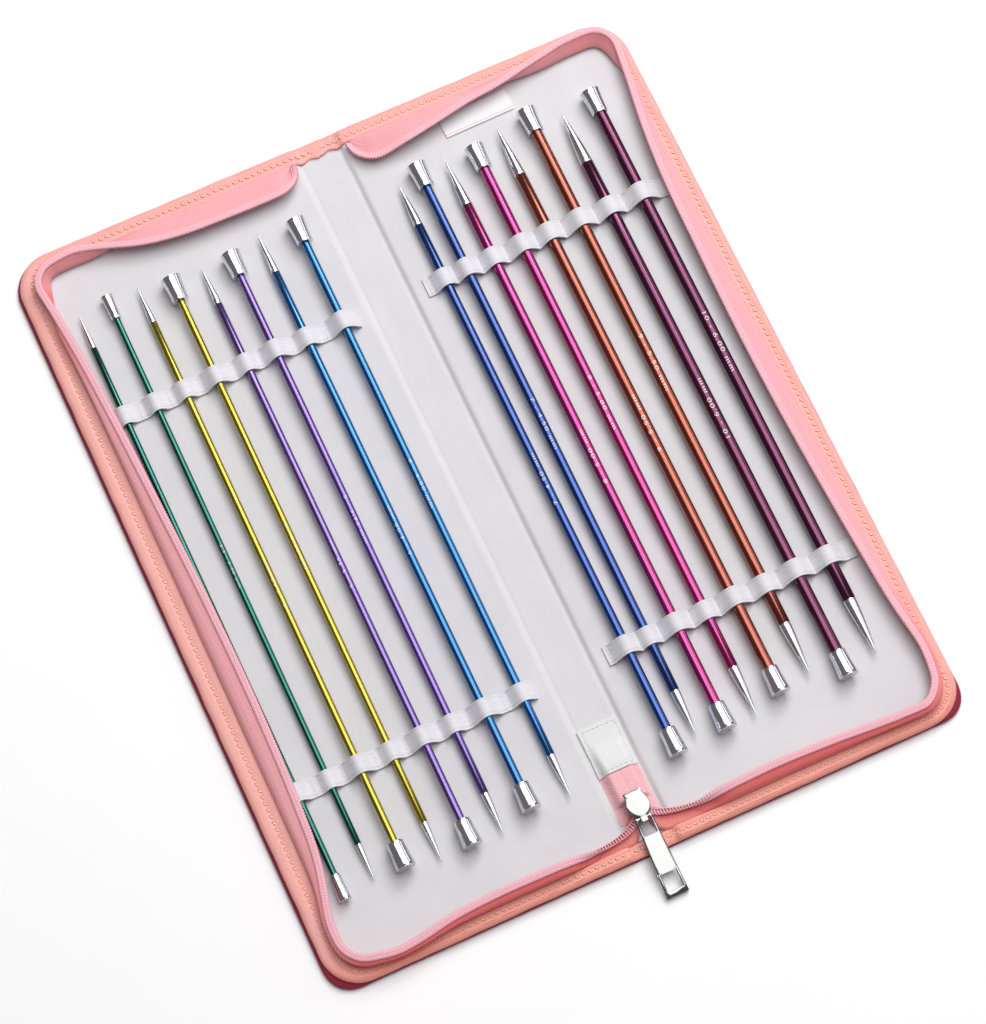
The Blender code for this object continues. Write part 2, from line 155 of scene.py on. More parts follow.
def strands(lines, radius, sides=6, flat=1.0, up=(0, 0, 1)):
    """Points and faces of short threads, one along each line of points, thinner at their ends."""
    points, faces = [], []
    for line in lines:
        line = np.asarray(line, float)
        way = np.gradient(line, axis=0)
        way = unit(way)
        across = np.cross(way, np.asarray(up, float))
        across = unit(across)
        over = np.cross(across, way)
        place = np.linspace(-1, 1, len(line))
        size = radius * np.sqrt(np.clip(1 - 0.75 * place**4, 0.05, 1))
        angles = np.arange(sides) * 2 * pi / sides
        ring = (
            line[:, None]
            + across[:, None] * (np.cos(angles)[None, :, None] * size[:, None, None])
            + over[:, None] * (np.sin(angles)[None, :, None] * size[:, None, None] * flat)
        )
        faces += skin(ring, start=len(points) * len(line) * sides)
        points.append(ring.reshape(-1, 3))
    return np.concatenate(points), faces


# ---------------------------------------------------------------- finishes


class Finish:
    """A material made of nodes. Its patterns read the mesh's own coordinates, in millimetres."""

    def __init__(self, name, **values):
        self.material = bpy.data.materials.new(name)
        self.material.use_nodes = True
        self.tree = self.material.node_tree
        self.shader = self.tree.nodes["Principled BSDF"]
        self.place = self.node("Attribute", attribute_name="pattern").outputs["Vector"]
        for key, value in values.items():
            self.shader.inputs[key.replace("_", " ").title().replace("Ior", "IOR")].default_value = value

    def node(self, kind, values=None, **settings):
        made = self.tree.nodes.new("ShaderNode" + kind)
        for key, value in settings.items():
            setattr(made, key, value)
        for key, value in (values or {}).items():
            if isinstance(value, bpy.types.NodeSocket):
                self.tree.links.new(value, made.inputs[key])
            else:
                made.inputs[key].default_value = value
        return made

    def math(self, operation, *values):
        return self.node("Math", dict(enumerate(values)), operation=operation).outputs[0]

    def stretch(self, scale):
        values = {0: self.place, 1: scale}
        return self.node("VectorMath", values, operation="MULTIPLY").outputs[0]

    def noise(self, size, detail=2.0, stretch=None, roughness=0.5):
        vector = self.stretch(stretch) if stretch else self.place
        values = {"Vector": vector, "Scale": 1 / size, "Detail": detail, "Roughness": roughness}
        return self.node("TexNoise", values).outputs[0]

    def cells(self, size, stretch=None):
        vector = self.stretch(stretch) if stretch else self.place
        values = {"Vector": vector, "Scale": 1 / size}
        return self.node("TexVoronoi", values, feature="F1").outputs["Distance"]

    def span(self, value, low, high, to_low=0.0, to_high=1.0):
        values = {0: value, 1: low, 2: high, 3: to_low, 4: to_high}
        return self.node("MapRange", values).outputs[0]

    def mix(self, share, first, second):
        made = self.node("Mix", data_type="RGBA")
        for socket, value in ((made.inputs[0], share), (made.inputs[6], first), (made.inputs[7], second)):
            if isinstance(value, bpy.types.NodeSocket):
                self.tree.links.new(value, socket)
            else:
                socket.default_value = (*value, 1.0) if hasattr(value, "__len__") else value
        return made.outputs[2]

    def bump(self, height, depth, below=None):
        """depth is how many millimetres a height of 1 stands proud."""
        values = {"Height": height, "Distance": depth * MM, "Strength": 1.0}
        if below is not None:
            values["Normal"] = below
        return self.node("Bump", values).outputs[0]

    def link(self, name, socket):
        self.tree.links.new(socket, self.shader.inputs[name])


def shade(colour, factor):
    return tuple(c * factor for c in colour)


def cloth(name, colour, pitch, depth, fuzz=0.04, roughness=0.85, sheen=0.25):
    """Plain weave: threads one pitch apart both ways, with slubs and a soft unevenness."""
    made = Finish(name, roughness=roughness, sheen_weight=sheen, sheen_roughness=0.5)
    x, y, _ = made.node("SeparateXYZ", {0: made.place}).outputs
    warp = made.math("SINE", made.math("MULTIPLY", x, 2 * pi / pitch))
    weft = made.math("SINE", made.math("MULTIPLY", y, 2 * pi / pitch))
    weave = made.span(made.math("MULTIPLY", warp, weft), -1, 1)
    cloud = made.noise(26, 3)
    slub = made.noise(1.2, 2, stretch=(0.15, 1.0, 1.0))
    base = made.mix(made.span(cloud, 0.3, 0.7), shade(colour, 0.955), colour)
    base = made.mix(made.math("MULTIPLY", made.span(slub, 0.35, 0.75), fuzz * 4), base, shade(colour, 1.08))
    base = made.mix(made.math("MULTIPLY", weave, fuzz * 2), base, shade(colour, 0.8))
    made.link("Base Color", base)
    height = made.math("ADD", weave, made.math("MULTIPLY", slub, 0.6))
    made.link("Normal", made.bump(height, depth))
    return made.material


def label_cloth(name, colour, line):
    """Woven label satin with a thin coloured line near its edges."""
    made = Finish(name, roughness=0.5, sheen_weight=0.2, sheen_roughness=0.4)
    x, y, _ = made.node("SeparateXYZ", {0: made.place}).outputs
    weave = made.span(made.math("SINE", made.math("MULTIPLY", x, 2 * pi / 0.35)), -1, 1)
    near = made.math("ABSOLUTE", made.math("SUBTRACT", y, 1.1))
    stripe = made.math("LESS_THAN", near, 0.22)
    base = made.mix(made.math("MULTIPLY", weave, 0.12), colour, shade(colour, 0.8))
    made.link("Base Color", made.mix(made.math("MULTIPLY", stripe, 0.8), base, line))
    made.link("Normal", made.bump(weave, 0.03))
    return made.material


def knit(name, colour):
    """Elastic: ribs along the band, crossed by fine rows."""
    made = Finish(name, roughness=0.8, sheen_weight=0.3, sheen_roughness=0.5)
    x, y, _ = made.node("SeparateXYZ", {0: made.place}).outputs
    rows = made.span(made.math("SINE", made.math("MULTIPLY", x, 2 * pi / 0.75)), -1, 1)
    wales = made.span(made.math("SINE", made.math("MULTIPLY", y, 2 * pi / 0.9)), -1, 1)
    knitted = made.math("MULTIPLY", rows, wales)
    cloud = made.noise(12, 3)
    base = made.mix(made.math("MULTIPLY", knitted, 0.25), shade(colour, 0.88), shade(colour, 1.03))
    off_middle = made.math("ABSOLUTE", made.math("SUBTRACT", y, 20.0))
    edge = made.math("ABSOLUTE", made.math("SUBTRACT", off_middle, 3.55))
    base = made.mix(made.span(edge, 0.55, 0.15), base, shade(colour, 0.78))
    base = made.mix(made.math("MULTIPLY", made.span(cloud, 0.35, 0.7), 0.3), base, shade(colour, 0.92))
    made.link("Base Color", base)
    made.link("Normal", made.bump(made.math("ADD", knitted, made.math("MULTIPLY", wales, 0.6)), 0.10))
    return made.material


def herringbone(name, colour, dark, light, column, pitch):
    """Woven zip tape. Its coordinates run along the tape and across it, and the third is how much painted
    shade it gets.
    """
    made = Finish(name, roughness=0.75, sheen_weight=0.25, sheen_roughness=0.4)
    x, y, painted_shade = made.node("SeparateXYZ", {0: made.place}).outputs
    slant = made.math("PINGPONG", y, column)
    turn = made.math("MULTIPLY", made.math("ADD", x, made.math("MULTIPLY", slant, 1.15)), 2 * pi / pitch)
    twill = made.span(made.math("SINE", turn), -1, 1)
    ridge = made.span(made.math("ABSOLUTE", made.math("SUBTRACT", slant, column / 2)), 0, column / 2)
    cloud = made.noise(9, 2, stretch=(1.0, 1.0, 0.0))
    base = made.mix(made.span(twill, 0.15, 0.75), dark, colour)
    base = made.mix(made.math("MULTIPLY", made.span(ridge, 0.8, 1.0), 0.35), base, dark)
    base = made.mix(made.math("MULTIPLY", made.span(cloud, 0.35, 0.75), 0.25), base, shade(colour, 0.85))
    # painted shade: where the third coordinate asks for it, the tape turns a deep red within a few
    # millimetres of the coil, under its overhang, and a lighter red further out
    deep = made.mix(made.span(y, 3.0, 10.0), PAINTED_DEEP_SHADE_CORAL, PAINTED_SHADE_CORAL)
    base = made.mix(painted_shade, base, made.mix(made.math("MULTIPLY", twill, 0.2), deep, dark))
    base = made.mix(made.span(y, -0.1, -0.5, 0.0, 0.75), base, light)
    made.link("Base Color", base)
    made.link("Normal", made.bump(made.math("ADD", twill, made.math("MULTIPLY", ridge, -0.5)), 0.09))
    return made.material


def grained(name, colour, worn, size, depth, roughness=0.45, painted_shade_end_colour=None):
    """Imitation leather: pebbled grain, a mottled colour and lighter high spots, with painted shade towards
    the slider's end if given a colour for it.
    """
    made = Finish(name, roughness=roughness, coat_weight=0.08, coat_roughness=0.35)
    grain = made.cells(size)
    fine = made.noise(size * 0.5, 3)
    cloud = made.noise(14, 3)
    base = made.mix(made.span(cloud, 0.3, 0.7), shade(colour, 0.9), colour)
    if painted_shade_end_colour:
        _, along, _ = made.node("SeparateXYZ", {0: made.place}).outputs
        # painted shade: the binding turns darker and redder towards the edge at the slider's end, which faces
        # away from the light
        base = made.mix(made.span(along, -166, -178), base, painted_shade_end_colour)
    base = made.mix(made.math("MULTIPLY", made.span(grain, 0.25, 0.7), 0.35), base, shade(colour, 0.78))
    base = made.mix(made.math("MULTIPLY", made.span(fine, 0.55, 0.8), 0.35), base, worn)
    made.link("Base Color", base)
    made.link("Roughness", made.span(cloud, 0.3, 0.7, roughness - 0.06, roughness + 0.1))
    height = made.math("SUBTRACT", made.math("MULTIPLY", fine, 0.5), grain)
    made.link("Normal", made.bump(height, depth))
    return made.material


def metal(name, colour, roughness, streak=0.03, along=(1.0, 0.02, 1.0), size=0.25, **coat):
    """Drawn metal: faint lines along the piece, and a slightly uneven polish."""
    made = Finish(name, metallic=1.0, roughness=roughness, **coat)
    lines = made.noise(size, 2, stretch=along)
    cloud = made.noise(7, 2)
    made.link("Base Color", made.mix(made.span(cloud, 0.3, 0.7), shade(colour, 0.93), colour))
    uneven = made.math("ADD", made.math("MULTIPLY", lines, streak * 2), made.math("MULTIPLY", cloud, streak))
    made.link("Roughness", made.math("ADD", uneven, roughness - streak * 1.5))
    made.link("Normal", made.bump(lines, 0.004))
    return made.material


LINING = (0.71, 0.69, 0.715)
ELASTIC = (0.84, 0.825, 0.87)
PINK = (0.94, 0.47, 0.50)
PINK_DARK = (0.80, 0.29, 0.33)
PINK_LIGHT = (0.90, 0.43, 0.51)
# painted shade colours for the zip tape, lighter and deeper
PAINTED_SHADE_CORAL = (0.92, 0.27, 0.21)
PAINTED_DEEP_SHADE_CORAL = (0.72, 0.085, 0.08)
SALMON = (0.91, 0.41, 0.365)
CRIMSON = (0.30, 0.012, 0.045)
THREAD = (0.99, 0.64, 0.52)

lining_cloth = cloth("lining", LINING, 0.42, 0.05)
tab_cloth = cloth("tab_cloth", (0.80, 0.79, 0.79), 0.6, 0.08)
cover_cloth = cloth("cover_fabric", CRIMSON, 0.55, 0.09, fuzz=0.1, sheen=0.05)
tape_cloth = herringbone("zip_tape", PINK, PINK_DARK, PINK_LIGHT, 2.5, 1.3)
# painted light: a lighter copy of the zip tape's colours for the tape at the slider's end, to lift it out of
# the shade there
painted_light_end_tape_cloth = herringbone("zip_tape_end_painted_light", (0.96, 0.57, 0.60), (0.87, 0.36, 0.42), PINK_LIGHT, 1.1, 1.25)
# the binding's last colour is painted shade at the slider's end
binding_leather = grained("binding", SALMON, (0.95, 0.50, 0.45), 0.75, 0.09, painted_shade_end_colour=(0.88, 0.31, 0.24))
binding_thread = cloth("binding_thread", THREAD, 0.22, 0.04, fuzz=0.1, sheen=0.1)
# painted shade: dark red strands at the stitch holes, where the holes lie in shade; the same dark colour also
# draws a line along the binding's inner edge
hole_shade_and_rim = cloth("stitch_hole_shade_and_rim", (0.66, 0.17, 0.14), 0.22, 0.02, fuzz=0.1, sheen=0.0)
coil_thread = cloth("coil_thread", (1.0, 0.76, 0.81), 0.3, 0.04, fuzz=0.1, sheen=0.1)
white_thread = cloth("white_thread", (0.80, 0.79, 0.80), 0.22, 0.04, sheen=0.1)
elastic_knit = knit("elastic", ELASTIC)
label_satin = label_cloth("label", (0.79, 0.80, 0.82), (0.82, 0.35, 0.42))
coil_nylon = grained("zip_coil", (0.97, 0.50, 0.58), (0.98, 0.66, 0.72), 0.5, 0.02, roughness=0.4)
chrome = metal("needle_metal", (0.70, 0.70, 0.75), 0.14, along=(0.6, 0.05, 1.0))
nickel = metal("slider_metal", (0.30, 0.305, 0.30), 0.12, along=(1.0, 0.1, 1.0))
size_ink = cloth("size_mark", (0.90, 0.90, 0.90), 0.3, 0.01)

# ---------------------------------------------------------------- camera, light and floor

CAMERA_PLACE = (-0.21816, -0.48953, 1.58811)  # metres
CAMERA_TILT, CAMERA_ROLL, CAMERA_TURN = 18.2654, 0.0350, -24.7601  # degrees, about X, Y and Z
CAMERA_LENS = 130.62

camera = bpy.data.objects.new("camera", bpy.data.cameras.new("camera"))
bpy.context.scene.collection.objects.link(camera)
camera.data.lens = CAMERA_LENS
camera.data.sensor_width = 36.0
camera.data.clip_start, camera.data.clip_end = 0.05, 20.0
camera.location = CAMERA_PLACE
camera.rotation_euler = (radians(CAMERA_TILT), radians(CAMERA_ROLL), radians(CAMERA_TURN))
bpy.context.scene.camera = camera
bpy.context.scene.view_settings.view_transform = "Standard"


def softbox(name, place, target, size, power, colour=(1, 1, 1)):
    light = bpy.data.lights.new(name, "AREA")
    light.shape = "RECTANGLE"
    light.size, light.size_y = size
    light.energy = power
    light.color = colour
    obj = bpy.data.objects.new(name, light)
    bpy.context.scene.collection.objects.link(obj)
    obj.location = place
    obj.rotation_euler = (Vector(target) - Vector(place)).to_track_quat("-Z", "Y").to_euler()
    obj.visible_camera = False


softbox("key_light", (1.0, 1.15, 1.45), (0, 0, 0), (1.0, 0.8), 15)
softbox("overhead_light", (0.5, 0.36, 1.95), (0, 0, 0), (1.9, 2.0), 39)
softbox("right_light", (2.1, 0.3, 0.9), (0, 0, 0), (1.2, 0.7), 4)
world = bpy.data.worlds.new("studio")
world.use_nodes = True
world.node_tree.nodes["Background"].inputs["Color"].default_value = (1.0, 1.0, 1.0, 1.0)
world.node_tree.nodes["Background"].inputs["Strength"].default_value = 0.17
bpy.context.scene.world = world

floor_paper = Finish("floor_paper", roughness=0.95)
paper = floor_paper.noise(40, 2)
floor_paper.link("Base Color", floor_paper.mix(paper, (0.97, 0.96, 0.97), (0.98, 0.975, 0.98)))
floor = add_mesh(
    "floor",
    [(-4000, -4000, -0.1), (4000, -4000, -0.1), (4000, 4000, -0.1), (-4000, 4000, -0.1)],
    [(0, 1, 2, 3)],
    floor_paper.material,
)

# ---------------------------------------------------------------- case

BINDING_WIDTHS = {  # along the slider's edge, the outer edge and the other end
    "left": (7.0, 11.0, 8.0),
    "right": (7.0, 7.0, 7.5),
}
CORNER_POINTS = 13
EDGE_STEP = 2.2
STITCH_STEP, STITCH_WIDTH = 1.6, 0.9
COVER_CLOTH = 0.5
LINING_INSET = 6.5  # from the case's edge, so that the binding hides the lining's edge


def spaced(low, high, step):
    return np.linspace(low, high, int(round((high - low) / step)) + 1)


def across_stations():
    """Places across a panel, close together where the cloth folds."""
    return np.concatenate([np.arange(0, 16, 1.0), spaced(16, ACROSS, EDGE_STEP)])


def edge_stations():
    """Along the three bound edges of the right half, from the spine's middle at the slider's end round to its
    middle at the other: points, directions inwards, and how far each belongs to each of the three edges."""
    xs = across_stations()
    turn = np.linspace(0, pi / 2, CORNER_POINTS + 2)[1:-1]
    rows = [((x, -HALF_LENGTH), (0, 1), (1, 0, 0)) for x in xs]
    for end in (-1, 1):
        for angle in turn:
            out = (sin(angle), -cos(angle)) if end < 0 else (cos(angle), sin(angle))
            share = float(ease(angle / (pi / 2)))
            corner = (ACROSS + CORNER_RADIUS * out[0], end * ALONG + CORNER_RADIUS * out[1])
            edges = (1 - share, share, 0) if end < 0 else (0, 1 - share, share)
            rows.append((corner, (-out[0], -out[1]), edges))
        if end < 0:
            rows += [((HALF_WIDTH, y), (-1, 0), (0, 1, 0)) for y in spaced(-ALONG, ALONG, EDGE_STEP)]
    rows += [((x, HALF_LENGTH), (0, -1), (0, 0, 1)) for x in xs[::-1]]
    return (np.array(part, float) for part in zip(*rows))


def distances(line):
    steps = np.linalg.norm(np.diff(line, axis=0), axis=1)
    return np.concatenate([[0], np.cumsum(steps)])


def resample(lines, step):
    """The same lines with points one step apart along the first of them."""
    place = distances(lines[0])
    at = spaced(0, place[-1], step)
    return at, [np.stack([np.interp(at, place, c) for c in line.T], 1) for line in lines]


def smooth(line, rounds):
    line = line.copy()
    for _ in range(rounds):
        line[1:-1] = (line[:-2] + 2 * line[1:-1] + line[2:]) / 4
    return line


def apply_modifiers(obj):
    graph = bpy.context.evaluated_depsgraph_get()
    mesh = bpy.data.meshes.new_from_object(obj.evaluated_get(graph))
    obj.modifiers.clear()
    obj.data = mesh
    return obj


def blend_half(obj, side):
    """Bakes the piece's placement into its mesh, the same way for both halves."""
    if side == "left":
        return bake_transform(obj)
    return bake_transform(obj)


def spine_drop(x):
    """How far the case is thinner at the spine than at the panels, from 0 to 1."""
    return 1 - ease((np.abs(x) - FOLD_X + 1.2) / 3.2)


def binding_top(width):
    """Inset and height across the binding, from under its outer edge over the seam to its inner edge."""
    seam = 0.56 * width
    return [
        (1.4, 2.5), (0.9, 2.2), (0.3, 2.3), (0.0, 2.9), (-0.05, 3.6), (0.3, 4.3), (1.0, 4.75), (2.0, 4.95),
        (seam - 1.9, 5.0), (seam - 1.2, 4.9), (seam - 0.7, 4.7), (seam, 4.6), (seam + 0.7, 4.7),
        (seam + 1.2, 4.85), (width - 1.2, 4.9), (width - 0.5, 4.75), (width - 0.1, 4.45), (width, 4.2),
        (width - 0.4, 4.06), (seam, 4.03), (2.2, 3.7),
    ]


SEAM_LEVEL = 11  # the row of binding_top that is the seam
BINDING_SHOWN = range(3, 18)


def make_binding(side):
    """Imitation leather sewn round the edge, with its zigzag seam. Returns both."""
    point, inward, edge = edge_stations()
    widths = edge @ np.array(BINDING_WIDTHS[side])
    rings = []
    for p, n, width in zip(point, inward, widths):
        drop = float(spine_drop(p[0]))
        ripple = 0.35 * drop * sin(p[0] * 0.75 + 1.0) * (1 if p[1] > 0 else 0.4)
        ring = []
        for inset, z in binding_top(width + ripple * 1.6):
            ring.append((*(p + n * inset), z - drop * 1.55 * (z - 1.2) / 3.6 + ripple * 0.3))
        rings.append(ring)
    rings = np.array(rings)
    shown = list(BINDING_SHOWN)
    flat = rings[:, shown] * (SIDES[side], 1, 1)
    rings[:, shown, 2] += 0.12 * lumps(flat, 8.0, 3).reshape(len(point), -1)
    pull = lumps(flat[:, :1] * (1, 1, 0), 9.0, 4)
    rings[:, :8, :2] += (inward * (0.25 * pull)[:, None])[:, None]
    seam = rings[:, SEAM_LEVEL].copy()
    rings[..., 0] *= SIDES[side]
    binding = add_mesh(f"{side}_binding", rings, skin(rings), binding_leather)
    place, (line, way) = resample([seam, inward], STITCH_STEP)
    lines, holes = [], []
    for i in range(len(place) - 2):
        out, near = (-1, 1) if i % 2 else (1, -1)
        start = line[i, :2] + way[i] * STITCH_WIDTH * out
        stop = line[i + 1, :2] + way[i + 1] * STITCH_WIDTH * near
        share = np.linspace(0.08, 0.92, 6)[:, None]
        level = line[i, 2] + (0.20 if i % 2 else 0.06) + 0.16 * np.sin(share * pi)
        lines.append(np.concatenate([(start * (1 - share) + stop * share) * (SIDES[side], 1), level], 1))
        # painted shade at each stitch hole: a short dark strand
        share = np.linspace(-0.13, 0.13, 4)[:, None]
        flat = start + (stop - start) * share * (1 if i % 2 else -1)
        holes.append(np.concatenate([flat * (SIDES[side], 1), line[i, 2] + 0.06 + 0 * share], 1))
    points, faces = strands(lines, 0.30)
    stitches = add_mesh(f"{side}_binding_stitches", points, faces, binding_thread, crease=0)
    points, faces = strands(holes, 0.2, sides=5)
    # a dark line along the binding's inner edge, in the same dark material
    rim = rings[:, BINDING_SHOWN[-2]] + (0, 0, 0.22)
    rim[:, :2] += inward * (SIDES[side], 1) * 0.3
    more, more_faces = strands([rim], 0.27, sides=6)
    faces += [tuple(number + len(points) for number in face) for face in more_faces]
    points = np.concatenate([points, more])
    return binding, stitches, add_mesh(f"{side}_stitch_hole_shade_and_rim", points, faces, hole_shade_and_rim, crease=0)



def make_cover(side):
    """The outer cloth. It comes up round the edge of the board, and is pressed in along the fold."""
    profile = [(3.2, 2.75), (1.6, 2.8), (0.5, 2.7), (-0.2, 2.2), (-0.45, 1.5), (-0.2, 0.8), (0.4, 0.3),
               (1.6, 0.05), (4.0, 0.0), (9.0, 0.0)]
    point, inward, edge = edge_stations()
    corner = 4 * edge[:, 0] * edge[:, 1]
    shown = {"left": 0.9, "right": 0.2}[side] * edge[:, 1] + 2.4 * corner
    rings = []
    for inset, z in profile:
        share = float(np.clip(1 - (inset - 0.4) / 3.6, 0, 1))
        flat = point + inward * inset - inward * (shown * share)[:, None]
        rings.append(np.concatenate([flat, np.full((len(point), 1), z)], 1))
    count, start = len(point), len(profile) * len(point)
    xs, ys = across_stations(), spaced(-ALONG, ALONG, EDGE_STEP)
    inner = np.array([[(x, y, 0.0) for y in ys] for x in xs])
    faces = grid_faces(len(profile), count) + grid_faces(len(xs), len(ys), start=start)
    number = start + np.arange(len(xs) * len(ys)).reshape(len(xs), len(ys))
    border = [*number[:, 0], *[number[-1, 0]] * CORNER_POINTS, *number[-1]]
    border += [*[number[-1, -1]] * CORNER_POINTS, *number[::-1, -1]]
    ring = start - count
    for i in range(count - 1):
        corners = (ring + i, ring + i + 1, int(border[i + 1]), int(border[i]))
        faces.append(corners[:3] if corners[2] == corners[3] else corners)
    points = np.concatenate([*rings, inner.reshape(-1, 3)])
    fold = np.exp(-(((np.abs(points[:, 0]) - FOLD_X) / 1.6) ** 2))
    low = points[:, 2] < 0.5
    points[:, 2] += np.where(low, 0.45 * fold, -spine_drop(points[:, 0]) * 0.9)
    points[:, 2] = np.maximum(points[:, 2], 0.0)
    points[:, 0] *= SIDES[side]
    obj = add_mesh(f"{side}_cover", points, faces, cover_cloth, crease=0)
    thick = obj.modifiers.new("Cloth", "SOLIDIFY")
    thick.thickness = COVER_CLOTH * MM
    thick.offset = -1
    return apply_modifiers(obj)



def lining_height(x):
    """The lining lies on the board, and drops to the soft spine between the folds."""
    height = LINING_TOP - (LINING_TOP - SPINE_TOP - 0.25) * spine_drop(x)
    crease = np.exp(-(((np.abs(x) - FOLD_X + 0.4) / 0.8) ** 2))
    return height - 0.5 * crease



def make_lining(side):
    """Its edges lie under the binding, and it is slack across the spine."""
    xs = np.concatenate([np.arange(0, 16, 0.8), spaced(16, HALF_WIDTH - LINING_INSET, 2.1)])
    ys = spaced(LINING_INSET - HALF_LENGTH, HALF_LENGTH - LINING_INSET, 2.2)
    x, y = np.meshgrid(xs * SIDES[side], ys, indexing="ij")
    flat = np.stack([x, y, np.zeros_like(x)], -1)
    slack = 1 - ease((np.abs(x) - 12) / 30)
    wave = lumps(flat * (1.0, 0.3, 1.0), 16, 5).reshape(x.shape)
    fine = lumps(flat * (1.0, 0.25, 1.0), 5, 6).reshape(x.shape)
    z = lining_height(x) + wave * (0.10 + 0.25 * slack) + fine * (0.02 + 0.12 * slack)
    return sheet(f"{side}_lining", np.stack([x, y, z], -1), 0.4, lining_cloth)


for side in SIDES:
    binding, stitches, holes = make_binding(side)
    lining, cover = make_lining(side), make_cover(side)
    for piece, finish in ((binding, "binding"), (stitches, "thread"), (holes, "thread"), (lining, "lining"),
                          (cover, "cover_fabric")):
        blend_half(piece, side)
    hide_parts(f"{side}_panel")
    if side == "left":
        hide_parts("spine_panel")

# ---------------------------------------------------------------- zip tapes

TAPE_WIDTH = 14.5
COIL_LEVEL = 6.7  # the most that the coil's middle stands above the lining
COIL_PITCH = 1.36
COIL_SIZE = (1.5, 0.55)  # half width and half thickness of the coil's middle line
WIRE = 0.34
SLOT_LEVEL = 6.75  # where the coil runs through the slider
SPLIT_Y, CLOSED_Y = -165.0, -158.5
LOBE_X, LOBE_END = 25.0, 13.6

# How far the coil stands inwards of the edge's stitching, at places along each edge from its corner at the
# slider's end, and how far it cuts each corner
LEAN = {
    "left": {
        "bottom": ((0, -0.5), (14, -3.1), (24, -2.4), (40, 0.2), (60, 1.5), (90, 1.3), (123, 0.8)),
        "side": ((0, 1.0), (9, 0.8), (21, 3.3), (33, 6.3), (46, 8.3), (60, 9.2), (110, 10.8), (168, 10.2),
                 (218, 8.4), (264, 6.3), (304, 3.6), (328, 1.0), (335, 0.0)),
        "top": ((0, -1.0), (12, -2.0), (26, 2.0), (42, 7.5), (60, 10.6), (85, 11.6), (123, 11.6)),
        "corners": (1.3, 0.5),
    },
    "right": {
        "bottom": ((0, -0.3), (13, 0.0), (46, 2.2), (70, 3.2), (95, 2.8), (123, 2.0)),
        "side": ((0, 0.5), (8, -0.8), (16, -1.2), (24, -0.3), (32, 0.8), (42, 1.9), (60, 3.0), (100, 5.0),
                 (140, 6.4), (190, 6.8), (233, 5.9), (264, 5.0), (292, 2.6), (316, -1.0), (335, -3.5)),
        "top": ((0, -3.5), (8, -3.4), (25, -0.6), (50, 4.0), (62, 5.2), (74, 7.4), (99, 11.6), (123, 13.8)),
        "corners": (1.5, -0.8),
    },
}
COIL_INSET = 9.0  # of that stitching from the case's edge
UPRIGHT_AFTER = 468  # along the coil, where its tape starts to stand up from further in


def between(knots, place):
    """A smooth curve through (place, value) knots."""
    places, values = (np.array(part, float) for part in zip(*knots))
    slopes = np.gradient(values, places)
    i = int(np.clip(np.searchsorted(places, place) - 1, 0, len(places) - 2))
    gap = places[i + 1] - places[i]
    share = float(np.clip((place - places[i]) / gap, 0, 1))
    bend = slopes[i] * share * (1 - share) ** 2 - slopes[i + 1] * share * share * (1 - share)
    return float(values[i] + (values[i + 1] - values[i]) * ease(share) + gap * bend)


def bezier(p0, p1, p2, p3, count):
    t = np.linspace(0, 1, count)[:, None]
    p0, p1, p2, p3 = (np.array(p, float) for p in (p0, p1, p2, p3))
    return p0 * (1 - t) ** 3 + 3 * p1 * t * (1 - t) ** 2 + 3 * p2 * t * t * (1 - t) + p3 * t**3


